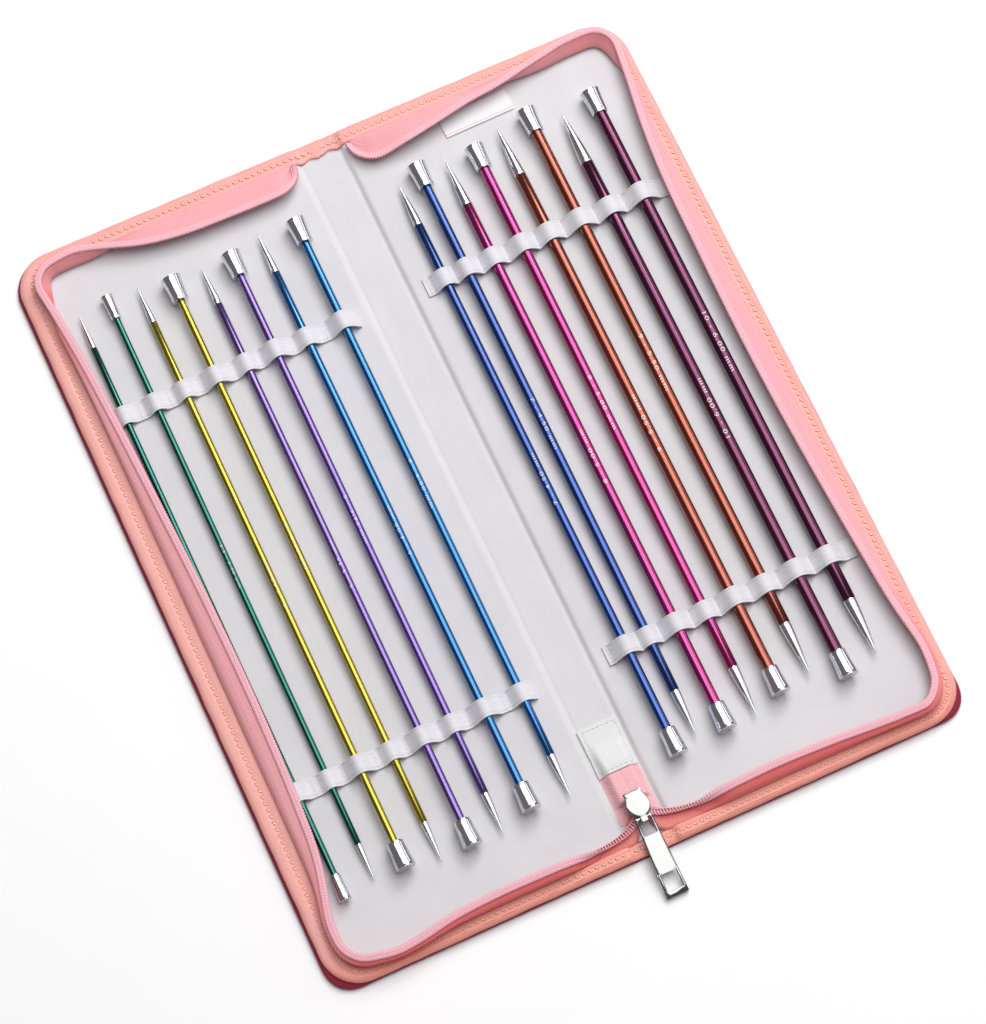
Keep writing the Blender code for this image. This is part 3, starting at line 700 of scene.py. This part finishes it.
def zip_path(side):
    """The coil and the line where its tape goes under the binding, from the slider round to the upper end.

    With them go how far the strip beside the coil is turned up from level, in degrees, how far it leans
    inwards, and how much painted shade its colour gets. Everything is worked out on the right-hand side of
    the spine."""
    lean = LEAN[side]
    widths = BINDING_WIDTHS[side]
    coil, foot, more = [], [], []

    def add(c, f, angle, leaning, painted_shade):
        coil.append(c)
        foot.append(f)
        more.append((angle, leaning, painted_shade))

    def rise(leaning):
        return min(COIL_LEVEL, (TAPE_WIDTH**2 - leaning**2) ** 0.5 - 2.2)

    def low_end(x):
        return 1.6 + (COIL_LEVEL - 1.6) * float(ease((x - 12.5) / 32))

    first = LOBE_X
    edge = -HALF_LENGTH + widths[0] - 0.5
    y = -HALF_LENGTH + COIL_INSET + between(lean["bottom"], ACROSS - first)
    z = LINING_TOP + low_end(first)
    for share in np.linspace(0, 1, 8):
        add((1.35, CLOSED_Y + (SPLIT_Y - CLOSED_Y) * share, SLOT_LEVEL), (2.0, -167.5, 3.2), 175, 4, 0)
    if side == "left":
        curve = bezier((1.4, SPLIT_Y, SLOT_LEVEL), (1.6, -171.4, 6.6), (8.5, y, 6.0), (first, y, z), 24)
    else:
        curve = bezier((1.4, SPLIT_Y, SLOT_LEVEL), (2.5, -169.4, 6.6), (9.0, y + 1.5, 6.0), (first, y, z), 24)
    for i in range(1, 23):
        x = 2.0 + (first - 2.0) * ease(i / 23) ** 1.3
        reach = (edge + 167.5) * ease(i / 7)
        height = max(3.2, float(lining_height(x)) + 0.35)
        add(curve[i], (x, -167.5 + reach, height), 175 - 70 * ease(i / 23), 4, 0.9 * ease(i / 6))
    # the last number given to add is the painted shade on the tape, most along the edge at the slider's end,
    # which faces away from the light
    for x in spaced(first, ACROSS, 3)[:-1]:
        leaning = between(lean["bottom"], ACROSS - x)
        add((x, -HALF_LENGTH + COIL_INSET + leaning, LINING_TOP + min(low_end(x), rise(leaning))),
            (x, edge, 4.35), 105 - 95 * ease((x - 18) / 22), leaning, 0.9)
    for end in (-1, 1):
        start = between(lean["bottom" if end < 0 else "side"], 0 if end < 0 else 2 * ALONG)
        stop = between(lean["side" if end < 0 else "top"], 0)
        for share in np.linspace(0, 1, 12):
            angle = share * pi / 2
            out = (sin(angle), -cos(angle)) if end < 0 else (cos(angle), sin(angle))
            leaning = start + (stop - start) * share + lean["corners"][end > 0] * sin(2 * angle)
            near = widths[0 if end < 0 else 1] * (1 - share) + widths[1 if end < 0 else 2] * share
            points = []
            for inset, height in ((COIL_INSET + leaning, rise(leaning)), (near - 0.5, 0.35)):
                reach = CORNER_RADIUS - inset
                points.append((ACROSS + reach * out[0], end * ALONG + reach * out[1], LINING_TOP + height))
            add(*points, 10, leaning, 0.9 - 0.4 * share if end < 0 else 0.35)
        if end < 0:
            for y in spaced(-ALONG, ALONG, 3)[1:-1]:
                leaning = between(lean["side"], y + ALONG)
                # painted shade along the side: heavier near the slider's end and, on the left, towards the
                # upper end
                far = {"left": 0.7, "right": 0.15}[side]
                shaded = 0.5 * (1 - ease((y + ALONG) / 60)) + far * ease((y - 105) / 50)
                add((HALF_WIDTH - COIL_INSET - leaning, y, LINING_TOP + rise(leaning)),
                    (HALF_WIDTH - widths[1] + 0.5, y, 4.35), 10, leaning, shaded)
    for x in spaced(LOBE_X, ACROSS, 3)[::-1][1:]:
        leaning = between(lean["top"], ACROSS - x)
        add((x, HALF_LENGTH - COIL_INSET - leaning, LINING_TOP + rise(leaning)),
            (x, HALF_LENGTH - widths[2] + 0.5, 4.35), 10, leaning, 0.35 * (1 - ease((ACROSS - x) / 60)))
    last = between(lean["top"], ACROSS - LOBE_X)
    for angle in np.linspace(0, pi / 2, 16)[1:]:
        x = LOBE_X - (LOBE_X - LOBE_END) * sin(angle)
        level = rise(last) + (1.6 - rise(last)) * sin(angle) ** 3
        add((x, HALF_LENGTH - COIL_INSET - last * cos(angle), LINING_TOP + level),
            (x + 0.6, HALF_LENGTH - widths[2] + 0.5, 4.35), 10 + 30 * sin(angle), 8, 0)
    lines = [np.array(coil, float), np.array(foot, float), np.array(more, float)]
    place, lines = resample(lines, 1.2)
    return place, [smooth(line, 6) for line in lines]


def strip_axes(coil, turn):
    """Along the coil, across the strip towards its free edge, and out of the strip's upper face."""
    way = np.gradient(coil, axis=0)
    way = unit(way)
    inside = np.stack([-way[:, 1], way[:, 0], np.zeros(len(way))], 1)
    inside = unit(inside)
    over = np.cross(way, inside)
    angle = np.radians(turn)
    free = inside * np.cos(angle) + over * np.sin(angle)
    return way, free, np.cross(way, free)


def swept_tube(line, first, second, sides):
    angles = np.arange(sides) * 2 * pi / sides
    wide = first[:, None] * np.cos(angles)[None, :, None]
    return line[:, None] + wide + second[:, None] * np.sin(angles)[None, :, None]


def make_zip(side):
    """One half of the zip: the woven tape, the nylon coil on its edge, and the chain stitch that holds it."""
    sign = (SIDES[side], 1, 1)
    place, (coil, foot, more) = zip_path(side)
    turn, leaning, painted_shade = more[:, :1], more[:, 1:2], more[:, 2:]
    way, free, face = strip_axes(coil, turn)
    # tape
    begin = int(np.searchsorted(place, 5.0))
    level = np.stack([-way[:, 1], way[:, 0], 0 * way[:, 0]], 1)
    level = unit(level)
    up = np.array([0, 0, 1.0])
    in_turn = 1 - (1 - ease((leaning + 1.5) / 10)) * ease((place[:, None] - UPRIGHT_AFTER) / 30)
    join = coil + free * (1.35 - 2.9 * in_turn) - face * 0.35
    ledge = join - free * 4.2 * in_turn + (level * 3.5 - up * 3.5) * (1 - in_turn)
    ledge[:, 2] = np.maximum(ledge[:, 2], foot[:, 2] + 0.5)
    stand = foot + up * np.clip((join[:, 2:] - foot[:, 2:]) * 0.8, 0.3, None) * in_turn
    stand = stand + (level * 7.5 + up * 0.3) * (1 - in_turn)
    t = np.linspace(0, 1, 13)[None, :, None]
    grid = (foot[:, None] * (1 - t) ** 3 + 3 * stand[:, None] * t * (1 - t) ** 2
            + 3 * ledge[:, None] * t * t * (1 - t) + join[:, None] * t**3)[begin:]
    steps = np.linalg.norm(np.diff(grid, axis=1), axis=2)
    across = np.concatenate([np.zeros((len(grid), 1)), np.cumsum(steps, 1)], 1)
    # the pattern's third coordinate carries the painted shade
    pattern = np.stack([np.repeat(place[begin:, None], grid.shape[1], 1), across[:, -1:] - across,
                        np.repeat(painted_shade[begin:], grid.shape[1], 1)], -1)
    normal = np.cross(np.gradient(grid, axis=0), np.gradient(grid, axis=1))
    normal = unit(normal)
    grid = grid + normal * 0.25
    tape_up = tuple(normal.mean((0, 1)) * sign)
    tape = sheet(f"{side}_tape", grid * sign, 0.5, tape_cloth, pattern, up=tape_up)
    # the tape's edge, folded over the coil
    reach = np.array([-1.85, -1.6, -1.0, -0.4, 0.2, 0.8, 1.2, 1.45])
    proud = np.array([0.35, 0.85, 1.02, 1.02, 1.02, 1.0, 0.85, 0.6])
    fold = coil[:, None] + free[:, None] * reach[None, :, None] + face[:, None] * proud[None, :, None]
    pattern = np.stack([np.repeat(place[:, None], len(reach), 1),
                        np.repeat(-2.2 - reach[None], len(place), 0),
                        np.zeros((len(place), len(reach)))], -1)
    fold_up = tuple((face[begin + 60:].mean(0)) * sign)
    edge = sheet(f"{side}_tape_edge", (fold * sign)[begin:], 0.3, tape_cloth, pattern[begin:], up=fold_up)
    with bpy.context.temp_override(active_object=tape, selected_editable_objects=[tape, edge]):
        bpy.ops.object.join()
    # coil
    turns = int(place[-1] / COIL_PITCH)
    at = np.linspace(0, place[-1], turns * 11 + 1)
    spin = (at / COIL_PITCH * 2 * pi)[:, None] + (pi if side == "left" else 0)
    base, u, v = (np.stack([np.interp(at, place, c) for c in part.T], 1) for part in (coil, free, face))
    wide, thick = COIL_SIZE
    helix = base + u * np.cos(spin) * wide + v * np.sin(spin) * thick
    tangent = np.gradient(helix, axis=0)
    tangent = unit(tangent)
    outward = u * np.cos(spin) * thick + v * np.sin(spin) * wide
    outward -= tangent * (outward * tangent).sum(1, keepdims=True)
    outward = unit(outward)
    rings = swept_tube(helix, outward * WIRE, np.cross(tangent, outward) * WIRE, 5)
    nylon = add_mesh(f"{side}_coil", rings * sign, skin(rings), coil_nylon, crease=0)
    # chain stitch
    at = np.linspace(0, place[-1], turns * 5 + 1)
    beat = (at / COIL_PITCH * 2 * pi)[:, None]
    base, u, v = (np.stack([np.interp(at, place, c) for c in part.T], 1) for part in (coil, free, face))
    points, faces = [], []
    for shift, level in ((-0.95, 1), (0.45, 1), (-0.95, -1)):
        above = thick + WIRE + (0.02 if level > 0 else 0.10) + 0.17 * np.sin(beat)
        line = base + u * (shift + 0.12 * np.sin(beat + shift)) + v * level * above
        rings = swept_tube(line, u * 0.24, v * 0.18, 4)
        faces += skin(rings, start=sum(len(p) for p in points))
        points.append(rings.reshape(-1, 3))
    chain = add_mesh(f"{side}_chain_stitch", np.concatenate(points) * sign, faces, coil_thread, crease=0)
    return tape, nylon, chain


for side in SIDES:
    for piece, finish in zip(make_zip(side), ("zip_tape", "zip_coil", "thread")):
        blend_half(piece, side)
        if finish == "zip_tape":
            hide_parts(f"{side}_zip_tape")

# ---------------------------------------------------------------- end of the zip, on the spine

TAB_HALF_WIDTH = 9.4


def arch(x, y):
    """Height of the closed zip's tape over the spine: a flat-topped swell that runs through the slider."""
    crown = 6.9 - 1.5 * ease((y + 147.5) / 4) - 3.4 * ease((-160.2 - y) / 1.6)
    side = ease((np.abs(x) - 4.9) / 4.3)
    return crown * (1 - side) + 2.75 * side + 0.12 * np.sin(y * 1.3 + x) * side * (1 - side) * 4


def make_end_tape():
    xs = spaced(-9.2, 9.2, 0.5)
    ys = spaced(-169.0, -144.0, 0.5)
    x, y = np.meshgrid(xs, ys, indexing="ij")
    uneven = lumps_over(x, y * 0.5, 3, 8)
    z = arch(x, y) - 0.25 * np.exp(-((x / 0.5) ** 2)) + 0.15 * uneven
    grid = np.stack([x * (1 + 0.05 * ease((-160 - y) / 9)), y, z], -1)
    pattern = np.stack([y + 200, x + 1.2 + 24, np.zeros_like(x)], -1)
    return sheet("zip_end_tape", grid, 0.4, painted_light_end_tape_cloth, pattern)


def make_tab():
    """White cloth folded under at its edges and sewn down over the end of the zip."""
    xs = spaced(-TAB_HALF_WIDTH, TAB_HALF_WIDTH, 0.5)
    ys = spaced(-146.2, -122.5, 0.6)
    x, y = np.meshgrid(xs, ys, indexing="ij")
    swell = 7.35 - 3.7 * ease((y + 146.0) / 20)
    side = ease((np.abs(x) - 4.9) / 4.3)
    edge = np.minimum(TAB_HALF_WIDTH - np.abs(x), np.minimum(y + 146.2, -122.5 - y))
    z = swell * (1 - side) + 3.5 * side - 0.25 * np.exp(-(((edge - 1.5) / 0.45) ** 2))
    z += 0.15 * lumps_over(x, y, 4, 9) + 0.15 * ease(edge / 0.6)
    wobble = 0.25 * lumps_over(x, y, 5, 10)
    grid = np.stack([x + wobble, y + wobble * 0.6, z], -1)
    tab = sheet("end_tab", grid, 0.75, tab_cloth)

    def height_at(px, py):
        column = int(np.argmin(np.abs(xs - px)))
        return float(np.interp(py, ys, grid[column, :, 2]))

    lines = []
    route = [(-7.9, -144.7), (7.9, -144.7), (7.9, -124.0), (-7.9, -124.0), (-7.9, -144.7)]
    for (x0, y0), (x1, y1) in zip(route, route[1:]):
        length = ((x1 - x0) ** 2 + (y1 - y0) ** 2) ** 0.5
        count = int(length / 2.1)
        for i in range(count):
            line = []
            for share in np.linspace(i / count + 0.012, (i + 0.78) / count, 5):
                px, py = x0 + (x1 - x0) * share, y0 + (y1 - y0) * share
                line.append((px, py, height_at(px, py)))
            line = np.array(line)
            line[:, 2] += 0.05 + 0.12 * np.sin(np.linspace(0, pi, 5))
            lines.append(line)
    points, faces = strands(lines, 0.17, sides=5)
    seam = add_mesh("end_tab_stitches", points, faces, white_thread, crease=0)
    return tab, seam


end_tape = make_end_tape()
end_tab, end_seam = make_tab()
for piece, finish in ((end_tape, "zip_tape"), (end_tab, "tab_cloth"), (end_seam, "thread")):
    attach(piece, "spine")
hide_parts("zip_end_tab")

# ---------------------------------------------------------------- slider and pull

SLIDER_Y = -164.8  # the middle of the slider's nose


def offset_outline(outline, inset):
    """A closed outline of (x, y) points moved inwards."""
    outline = np.array(outline, float)
    way = np.roll(outline, -1, 0) - np.roll(outline, 1, 0)
    normal = np.stack([-way[:, 1], way[:, 0]], 1)
    normal = unit(normal)
    area = (outline[:, 0] * np.roll(outline[:, 1], -1) - np.roll(outline[:, 0], -1) * outline[:, 1]).sum()
    return outline + normal * inset * (1 if area > 0 else -1)


def plate(outline, low, high, bevel, crown=0.0):
    """Rings of a plate with bevelled rims and a slightly domed top."""
    rings = []
    for inset, z in ((bevel, low), (bevel * 0.3, low + bevel * 0.3), (0, low + bevel), (0, high - bevel),
                     (bevel * 0.3, high - bevel * 0.3), (bevel, high)):
        flat = offset_outline(outline, inset)
        rings.append(np.concatenate([flat, np.full((len(flat), 1), z)], 1))
    middle = rings[-1].mean(0)
    for share in (0.75, 0.45, 0.15):
        ring = middle + (rings[5] - middle) * share
        ring[:, 2] = high + crown * (1 - share**2)
        rings.append(ring)
    return np.array(rings)


def shield_outline(scale=1.0):
    """A square tail, hollow shoulders and a round nose towards -Y, round the middle of the nose."""
    nose = [(5.5 * cos(a), 5.9 * sin(a)) for a in np.linspace(0.42, -pi - 0.42, 29)]
    shoulder = [(4.35, 6.6), (4.32, 5.6), (4.25, 4.7), (4.45, 3.7)]
    tail = [(x, 6.6) for x in (-3.0, -1.5, 0.0, 1.5, 3.0)]
    outline = shoulder + nose + [(-x, y) for x, y in reversed(shoulder)] + tail
    return [(x * scale, SLIDER_Y + y * scale) for x, y in outline]



def rounded_box(x, y, radius, count=4):
    points = []
    for cx, cy, start in ((x[1], y[1], 0), (x[0], y[1], 1), (x[0], y[0], 2), (x[1], y[0], 3)):
        dx = -radius if start in (0, 3) else radius
        dy = -radius if start in (0, 1) else radius
        for i in range(count + 1):
            angle = (start + i / count) * pi / 2
            points.append((cx + dx + radius * cos(angle), cy + dy + radius * sin(angle)))
    return points


def make_slider():
    parts = [
        plate(shield_outline(0.86), 5.1, 5.9, 0.15),
        plate(shield_outline(0.35), 5.8, 7.7, 0.1),
        plate(shield_outline(0.86), 7.6, 8.4, 0.2),
        plate(rounded_box((-1.6, 1.6), (-163.5, -160), 0.5), 8.3, 10.5, 0.1),
        plate(shield_outline(), 10.4, 11.45, 0.42, crown=0.3),
        plate(rounded_box((-1.5, 1.5), (-172.9, -168.5), 0.4), 7.7, 8.3, 0.12),
        plate(rounded_box((-1.5, 1.5), (-172.9, -171.8), 0.4), 7.8, 11.3, 0.12),
        plate(rounded_box((-1.5, 1.5), (-172.9, -168.5), 0.4), 10.5, 11.4, 0.15),
    ]
    points, faces, start = [], [], 0
    for rings in parts:
        faces += skin(rings, start=start)
        points.append(rings.reshape(-1, 3))
        start += rings.shape[0] * rings.shape[1]
    return add_mesh("slider", np.concatenate(points), faces, nickel, crease=30)


PULL_AXIS = (0.0, -170.6, 9.4)
PULL_DROOP = 12.7
PULL_LENGTH = 36.8


def in_fixed_order(bm):
    """A mesh's points and faces, sorted by place, because a bevel numbers them differently in each run."""
    bm.verts.index_update()
    order = sorted(bm.verts, key=lambda vert: tuple(vert.co))
    number = {vert.index: i for i, vert in enumerate(order)}
    faces = [tuple(number[vert.index] for vert in face.verts) for face in bm.faces]
    return [vert.co.copy() for vert in order], sorted(faces, key=sorted)


def make_pull():
    """A tapering tag with a bar at its root, a window in front of it and a square hole at its free end."""
    root, end = 0.65, -PULL_LENGTH
    stations = [  # place, thickness, inner edge of the opening or None where it is solid
        (root, 0.65, None), (-0.65, 0.65, 2.9), (-8.0, 0.65, 2.9), (-9.0, 0.7, None), (-26.0, 1.15, None),
        (end + 11.2, 1.15, 3.75), (end + 2.8, 1.15, 3.75), (end, 1.15, None),
    ]
    bm = bmesh.new()
    rows = []
    for y, half, opening in stations:
        wide = 4.0 + (5.3 - 4.0) * (root - y) / (root - end)
        inner = opening or 3.4
        rows.append([[bm.verts.new((x, y, z)) for x in (-wide, -inner, inner, wide)] for z in (-half, half)])
    open_rows = (1, 5)
    for i, (near, far) in enumerate(zip(rows, rows[1:])):
        for j in range(3):
            if j == 1 and i in open_rows:
                continue
            for level in (0, 1):
                bm.faces.new((near[level][j], near[level][j + 1], far[level][j + 1], far[level][j]))
        for j in (0, 3):
            bm.faces.new((near[0][j], far[0][j], far[1][j], near[1][j]))
        if i in open_rows:
            for j in (1, 2):
                bm.faces.new((near[0][j], far[0][j], far[1][j], near[1][j]))
    for row in (rows[0], rows[-1]):
        for j in range(3):
            bm.faces.new((row[0][j], row[0][j + 1], row[1][j + 1], row[1][j]))
    for i in open_rows:
        for row in (rows[i], rows[i + 1]):
            bm.faces.new((row[0][1], row[0][2], row[1][2], row[1][1]))
    bmesh.ops.recalc_face_normals(bm, faces=bm.faces)
    posts = [e for e in bm.edges if abs(e.verts[0].co.z - e.verts[1].co.z) > 0.5
             and e.calc_face_angle(0) > radians(60)]
    bmesh.ops.bevel(bm, geom=posts, offset=0.3, segments=2, affect="EDGES", profile=0.5)
    rims = [e for e in bm.edges if e.calc_face_angle(0) > radians(50)]
    bmesh.ops.bevel(bm, geom=rims, offset=0.3, segments=2, affect="EDGES", profile=0.5)
    turn = Matrix.Translation(PULL_AXIS) @ Matrix.Rotation(radians(PULL_DROOP), 4, "X")
    bm.transform(turn)
    points, faces = in_fixed_order(bm)
    bm.free()
    return add_mesh("pull", points, faces, nickel, crease=25)


slider, pull = make_slider(), make_pull()
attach(slider, "slider")
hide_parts("zip_slider")
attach(pull, "pull")
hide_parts("zip_pull")

# ---------------------------------------------------------------- needles

NEEDLE_SIDES = 40
COLOURS = {  # by the needle's diameter in hundredths of a millimetre
    300: (0.004, 0.12, 0.09), 350: (0.42, 0.33, 0.028), 375: (0.17, 0.10, 0.36), 400: (0.022, 0.15, 0.40),
    450: (0.028, 0.07, 0.27), 500: (0.42, 0.032, 0.18), 550: (0.28, 0.065, 0.04), 600: (0.11, 0.016, 0.062),
}
SIZE_NUMBERS = {300: "2.5", 350: "4", 375: "5", 400: "6", 450: "7", 500: "8", 550: "9", 600: "10"}


def middle(node):
    low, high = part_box(node)
    return (low + high) / 2 / MM, (high - low) / MM


class Needle:
    """One needle's line, read from the CAD nodes. Its direction points towards the cap."""

    def __init__(self, joint):
        self.body = joint["child"]
        self.centre, size = middle(self.body + "_shaft")
        self.radius = size.x / 2
        cap, cap_size = middle(self.body + "_cap")
        tip, tip_size = middle(self.body + "_tip")
        self.way = Vector(joint["axis"]).normalized()
        if (cap - self.centre).dot(self.way) < 0:
            self.way = -self.way
        self.cap_radius = cap_size.x / 2
        self.cap_end = (cap - self.centre).dot(self.way) + cap_size.y / 2
        self.cap_start = (cap - self.centre).dot(self.way) - cap_size.y / 2
        self.tip_end = (tip - self.centre).dot(self.way) - tip_size.y / 2
        self.shaft = size.y / 2
        self.code = int(round(self.radius * 200))

    def height_at(self, y):
        return self.centre.z + (y - self.centre.y) * self.way.z / self.way.y

    def turned(self, name, profile, finish, node, slot):
        """A piece turned about the needle's line from (place, radius) points."""
        side = Vector((1, 0, 0))
        over = side.cross(self.way)
        angles = np.arange(NEEDLE_SIDES) * 2 * pi / NEEDLE_SIDES
        ring = np.outer(np.cos(angles), side) + np.outer(np.sin(angles), over)
        rings = np.array([np.array(self.centre + self.way * t) + ring * r for t, r in profile])
        along = np.repeat(np.array([[t] for t, _ in profile]), NEEDLE_SIDES, 1)
        depth = np.repeat(np.array([[r] for _, r in profile]), NEEDLE_SIDES, 1)
        pattern = np.stack([depth * np.cos(angles)[None], along + self.centre.x,
                            depth * np.sin(angles)[None]], -1)
        obj = add_mesh(name, rings, skin(rings), finish, pattern, crease=35)
        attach(obj, self.body)
        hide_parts(node)
        return obj


def make_needle(needle, finish):
    r, name = needle.radius, needle.body
    shoulder = -needle.shaft
    start, end = needle.cap_start, needle.cap_end
    near = needle.cap_radius - (0.5 if needle.cap_radius < 3.5 else 0.8)
    far = needle.cap_radius
    shaft = [(shoulder, r - 0.25), (shoulder + 0.05, r - 0.1), (shoulder + 0.2, r), (shoulder + 40, r),
             (0, r), (start - 30, r), (start - 0.05, r), (start + 2.5, r), (start + 2.5, r - 0.3)]
    needle.turned(f"{name}_tube", shaft, finish, f"{name}_shaft", f"anodised_{needle.code}")
    length = shoulder - 0.05 - needle.tip_end
    tip = [(shoulder - 0.05, r - 0.3), (shoulder - 0.05, r - 0.08), (shoulder - 0.25, r - 0.01)]
    for along in (0.05, 0.12, 0.2, 0.3, 0.4, 0.5, 0.6, 0.7, 0.8, 0.88, 0.94, 0.98, 1.0):
        tip.append((shoulder - 0.05 - length * along, r * max(0.985 * (1 - along**1.55), 0.02)))
    needle.turned(f"{name}_point", tip, chrome, f"{name}_tip", "needle_metal")
    deep = end - start
    cap = [(start + 0.6, r + 0.02), (start + 0.05, r + 0.15), (start, r + 0.4), (start, near - 0.3),
           (start + 0.08, near - 0.08), (start + 0.3, near)]
    for share in (0.15, 0.3, 0.45, 0.6, 0.75, 0.88):
        cap.append((start + deep * share, near - 0.10 * sin(share * pi) + (far - near) * share**1.25))
    cap += [(end - 0.45, far - 0.06), (end - 0.35, far), (end - 0.15, far), (end - 0.03, far - 0.12),
            (end, far - 0.35), (end, far - 0.8), (end - 0.12, far - 0.95), (end - 0.12, 0.3)]
    needle.turned(f"{name}_end_cap", cap, chrome, f"{name}_cap", "needle_metal")


def make_mark(needle):
    """The size, printed along the upper side of the shaft."""
    text = bpy.data.curves.new("mark", "FONT")
    number = needle.code / 100
    text.body = f"{SIZE_NUMBERS[needle.code]} - {number:.2f} mm"
    text.size = 1.0
    text.space_character = 1.25
    text.extrude = 0.01
    text.align_x = "CENTER"
    text.align_y = "CENTER"
    holder = bpy.data.objects.new("mark", text)
    bpy.context.scene.collection.objects.link(holder)
    graph = bpy.context.evaluated_depsgraph_get()
    mesh = bpy.data.meshes.new_from_object(holder.evaluated_get(graph))
    bpy.data.objects.remove(holder)
    bm = bmesh.new()
    bm.from_mesh(mesh)
    bmesh.ops.remove_doubles(bm, verts=bm.verts, dist=1e-5)
    for k in range(-5, 6):  # cut across, so that the print can bend round the shaft
        everything = bm.verts[:] + bm.edges[:] + bm.faces[:]
        bmesh.ops.bisect_plane(bm, geom=everything, plane_co=(0, k * 0.1, 0), plane_no=(0, 1, 0))
    flat = np.array([v.co for v in bm.verts])
    faces = [tuple(v.index for v in f.verts) for f in bm.faces]
    bm.free()
    length = 22 + 3.0 * (needle.radius * 2 - 3)
    wide = flat[:, 0].max() - flat[:, 0].min()
    stretch = length / wide
    tall = min(needle.radius * 0.80, stretch * 1.05)
    sign = -1 if needle.way.y < 0 else 1
    along = flat[:, 0] * stretch * -sign
    angle = flat[:, 1] * tall * 1.25 / needle.radius * sign
    lift = needle.radius + 0.012 + np.where(flat[:, 2] > 0, 0.02, -0.03)
    way = needle.way if needle.way.y > 0 else -needle.way
    side = Vector((1, 0, 0))
    over = side.cross(way)
    points = (np.array(needle.centre) + np.outer(along, way) + np.outer(np.sin(angle) * lift, side)
              + np.outer(np.cos(angle) * lift, over))
    obj = add_mesh(f"{needle.body}_size", points, faces, size_ink, crease=0)
    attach(obj, needle.body)
    return obj


needles = [Needle(joint) for joint in frame["joints"] if joint["name"].startswith("needle_")]
lacquer = {"coat_weight": 0.5, "coat_ior": 1.6, "coat_roughness": 0.14}
finishes = {
    code: metal(f"anodised_{code}", colour, 0.24, streak=0.04, **lacquer) for code, colour in COLOURS.items()
}
for needle in needles:
    make_needle(needle, finishes[needle.code])
    make_mark(needle)

# ---------------------------------------------------------------- elastic bands

BAND_WIDTH, BAND_GAP = 9.5, 0.35
LOOP_SLOPE = radians(40)


def band_line(node, held):
    """The underside of a band in the XZ plane: flat on the lining, with a loop over each needle."""
    low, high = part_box(node)
    y = (low.y + high.y) / 2 / MM
    floor = LINING_TOP + 0.3
    line = [(low.x / MM, floor)]
    for needle in sorted(held, key=lambda n: n.centre.x):
        radius = needle.radius + BAND_GAP
        height = needle.height_at(y)
        top = height + radius * sin(LOOP_SLOPE)
        foot = radius * cos(LOOP_SLOPE) + (top - floor) / np.tan(pi / 2 - LOOP_SLOPE)
        x = needle.centre.x
        side = [(x - foot - 0.9, floor), (x - foot - 0.15, floor + 0.12)]
        if line[-1][0] > side[0][0]:
            middle_x = (line[-1][0] + side[0][0]) / 2
            line.pop()
            side = [(middle_x, floor + 0.1)]
        line += side
        for angle in np.linspace(pi - LOOP_SLOPE, LOOP_SLOPE, 13):
            line.append((x + radius * cos(angle), height + radius * sin(angle)))
        line += [(x + foot + 0.15, floor + 0.12), (x + foot + 0.9, floor)]
    line.append((high.x / MM, floor))
    return np.array(line), y


def make_band(side, level):
    node = f"{side}_{level}_elastic"
    low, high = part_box(node)
    held = [n for n in needles if low.x < n.centre.x * MM < high.x]
    line, y = band_line(node, held)
    place, (line,) = resample([line], 0.6)
    line = smooth(line, 4)
    way = np.gradient(line, axis=0)
    way = unit(way)
    up = np.stack([-way[:, 1], way[:, 0]], 1)
    half = BAND_WIDTH / 2
    section = [(-half, 0.12), (-half + 0.15, 0.0), (-half + 1.2, 0.0), (0, 0.0), (half - 1.2, 0.0),
               (half - 0.15, 0.0), (half, 0.12), (half, 0.62), (half - 0.2, 0.80), (half - 0.55, 0.86),
               (half - 0.9, 0.72), (half - 1.3, 0.70), (half - 1.7, 0.82), (half - 2.2, 0.78), (0, 0.78),
               (-half + 2.2, 0.78), (-half + 1.7, 0.82), (-half + 1.3, 0.70), (-half + 0.9, 0.72),
               (-half + 0.55, 0.86), (-half + 0.2, 0.80), (-half, 0.62)]
    drift = 0.3 * lumps(np.stack([place, place * 0, place * 0], 1), 30, 11 + (level == "upper"))
    narrow = 1 - 0.06 * ease((line[:, 1] - LINING_TOP - 1.5) / 3)
    rings = np.array([[(p[0] + n[0] * h, y + d + w * k, p[1] + n[1] * h) for w, h in section]
                      for p, n, d, k in zip(line, up, drift, narrow)])
    upper_face = 7  # the first row of section on the band's upper face, whose pattern starts 20 mm on
    pattern = np.array([[(s, w + (0 if j < upper_face else 20), 0) for j, (w, _) in enumerate(section)]
                        for s in place])
    band = add_mesh(node + "_band", rings, skin(rings), elastic_knit, pattern, crease=60)
    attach(band, f"{side}_half")
    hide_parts(node)
    gaps = sorted((a.centre.x + b.centre.x) / 2 for a, b in zip(held, held[1:]))
    ends = [low.x / MM + 1.6, high.x / MM - 1.6]
    lines = []
    for x in gaps + ends:
        i = int(np.argmin(np.abs(line[:, 0] - x)))
        for k in range(4):
            start = -half + 0.9 + k * 2.0
            widths = np.linspace(start, -half + 2.5 + k * 2.0, 5)
            rise = 0.84 + 0.08 * np.sin((widths - start) / 1.6 * pi)
            lines.append([(line[i, 0], y + drift[i] + w, line[i, 1] + r) for w, r in zip(widths, rise)])
    points, faces = strands(lines, 0.16, sides=5)
    tacks = add_mesh(node + "_stitches", points, faces, white_thread, crease=0)
    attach(tacks, f"{side}_half")


for side in SIDES:
    for level in ("upper", "lower"):
        make_band(side, level)

# ---------------------------------------------------------------- label


def make_label():
    """A small blank woven label, caught under the zip tape."""
    xs, ys = spaced(57.0, 91.8, 0.6), spaced(160.8, 171.5, 0.6)
    x, y = np.meshgrid(xs, ys, indexing="ij")
    turn = radians(1.0)
    px = 74 + (x - 74) * cos(turn) - (y - 166) * sin(turn)
    py = 166 + (x - 74) * sin(turn) + (y - 166) * cos(turn)
    z = 4.75 + 0.08 * lumps_over(x, y, 9, 12)
    pattern = np.stack([x - xs[0], y - ys[0], np.zeros_like(x)], -1)
    label = sheet("label", np.stack([px, py, z], -1), 0.22, label_satin, pattern)
    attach(label, "right_half")


make_label()
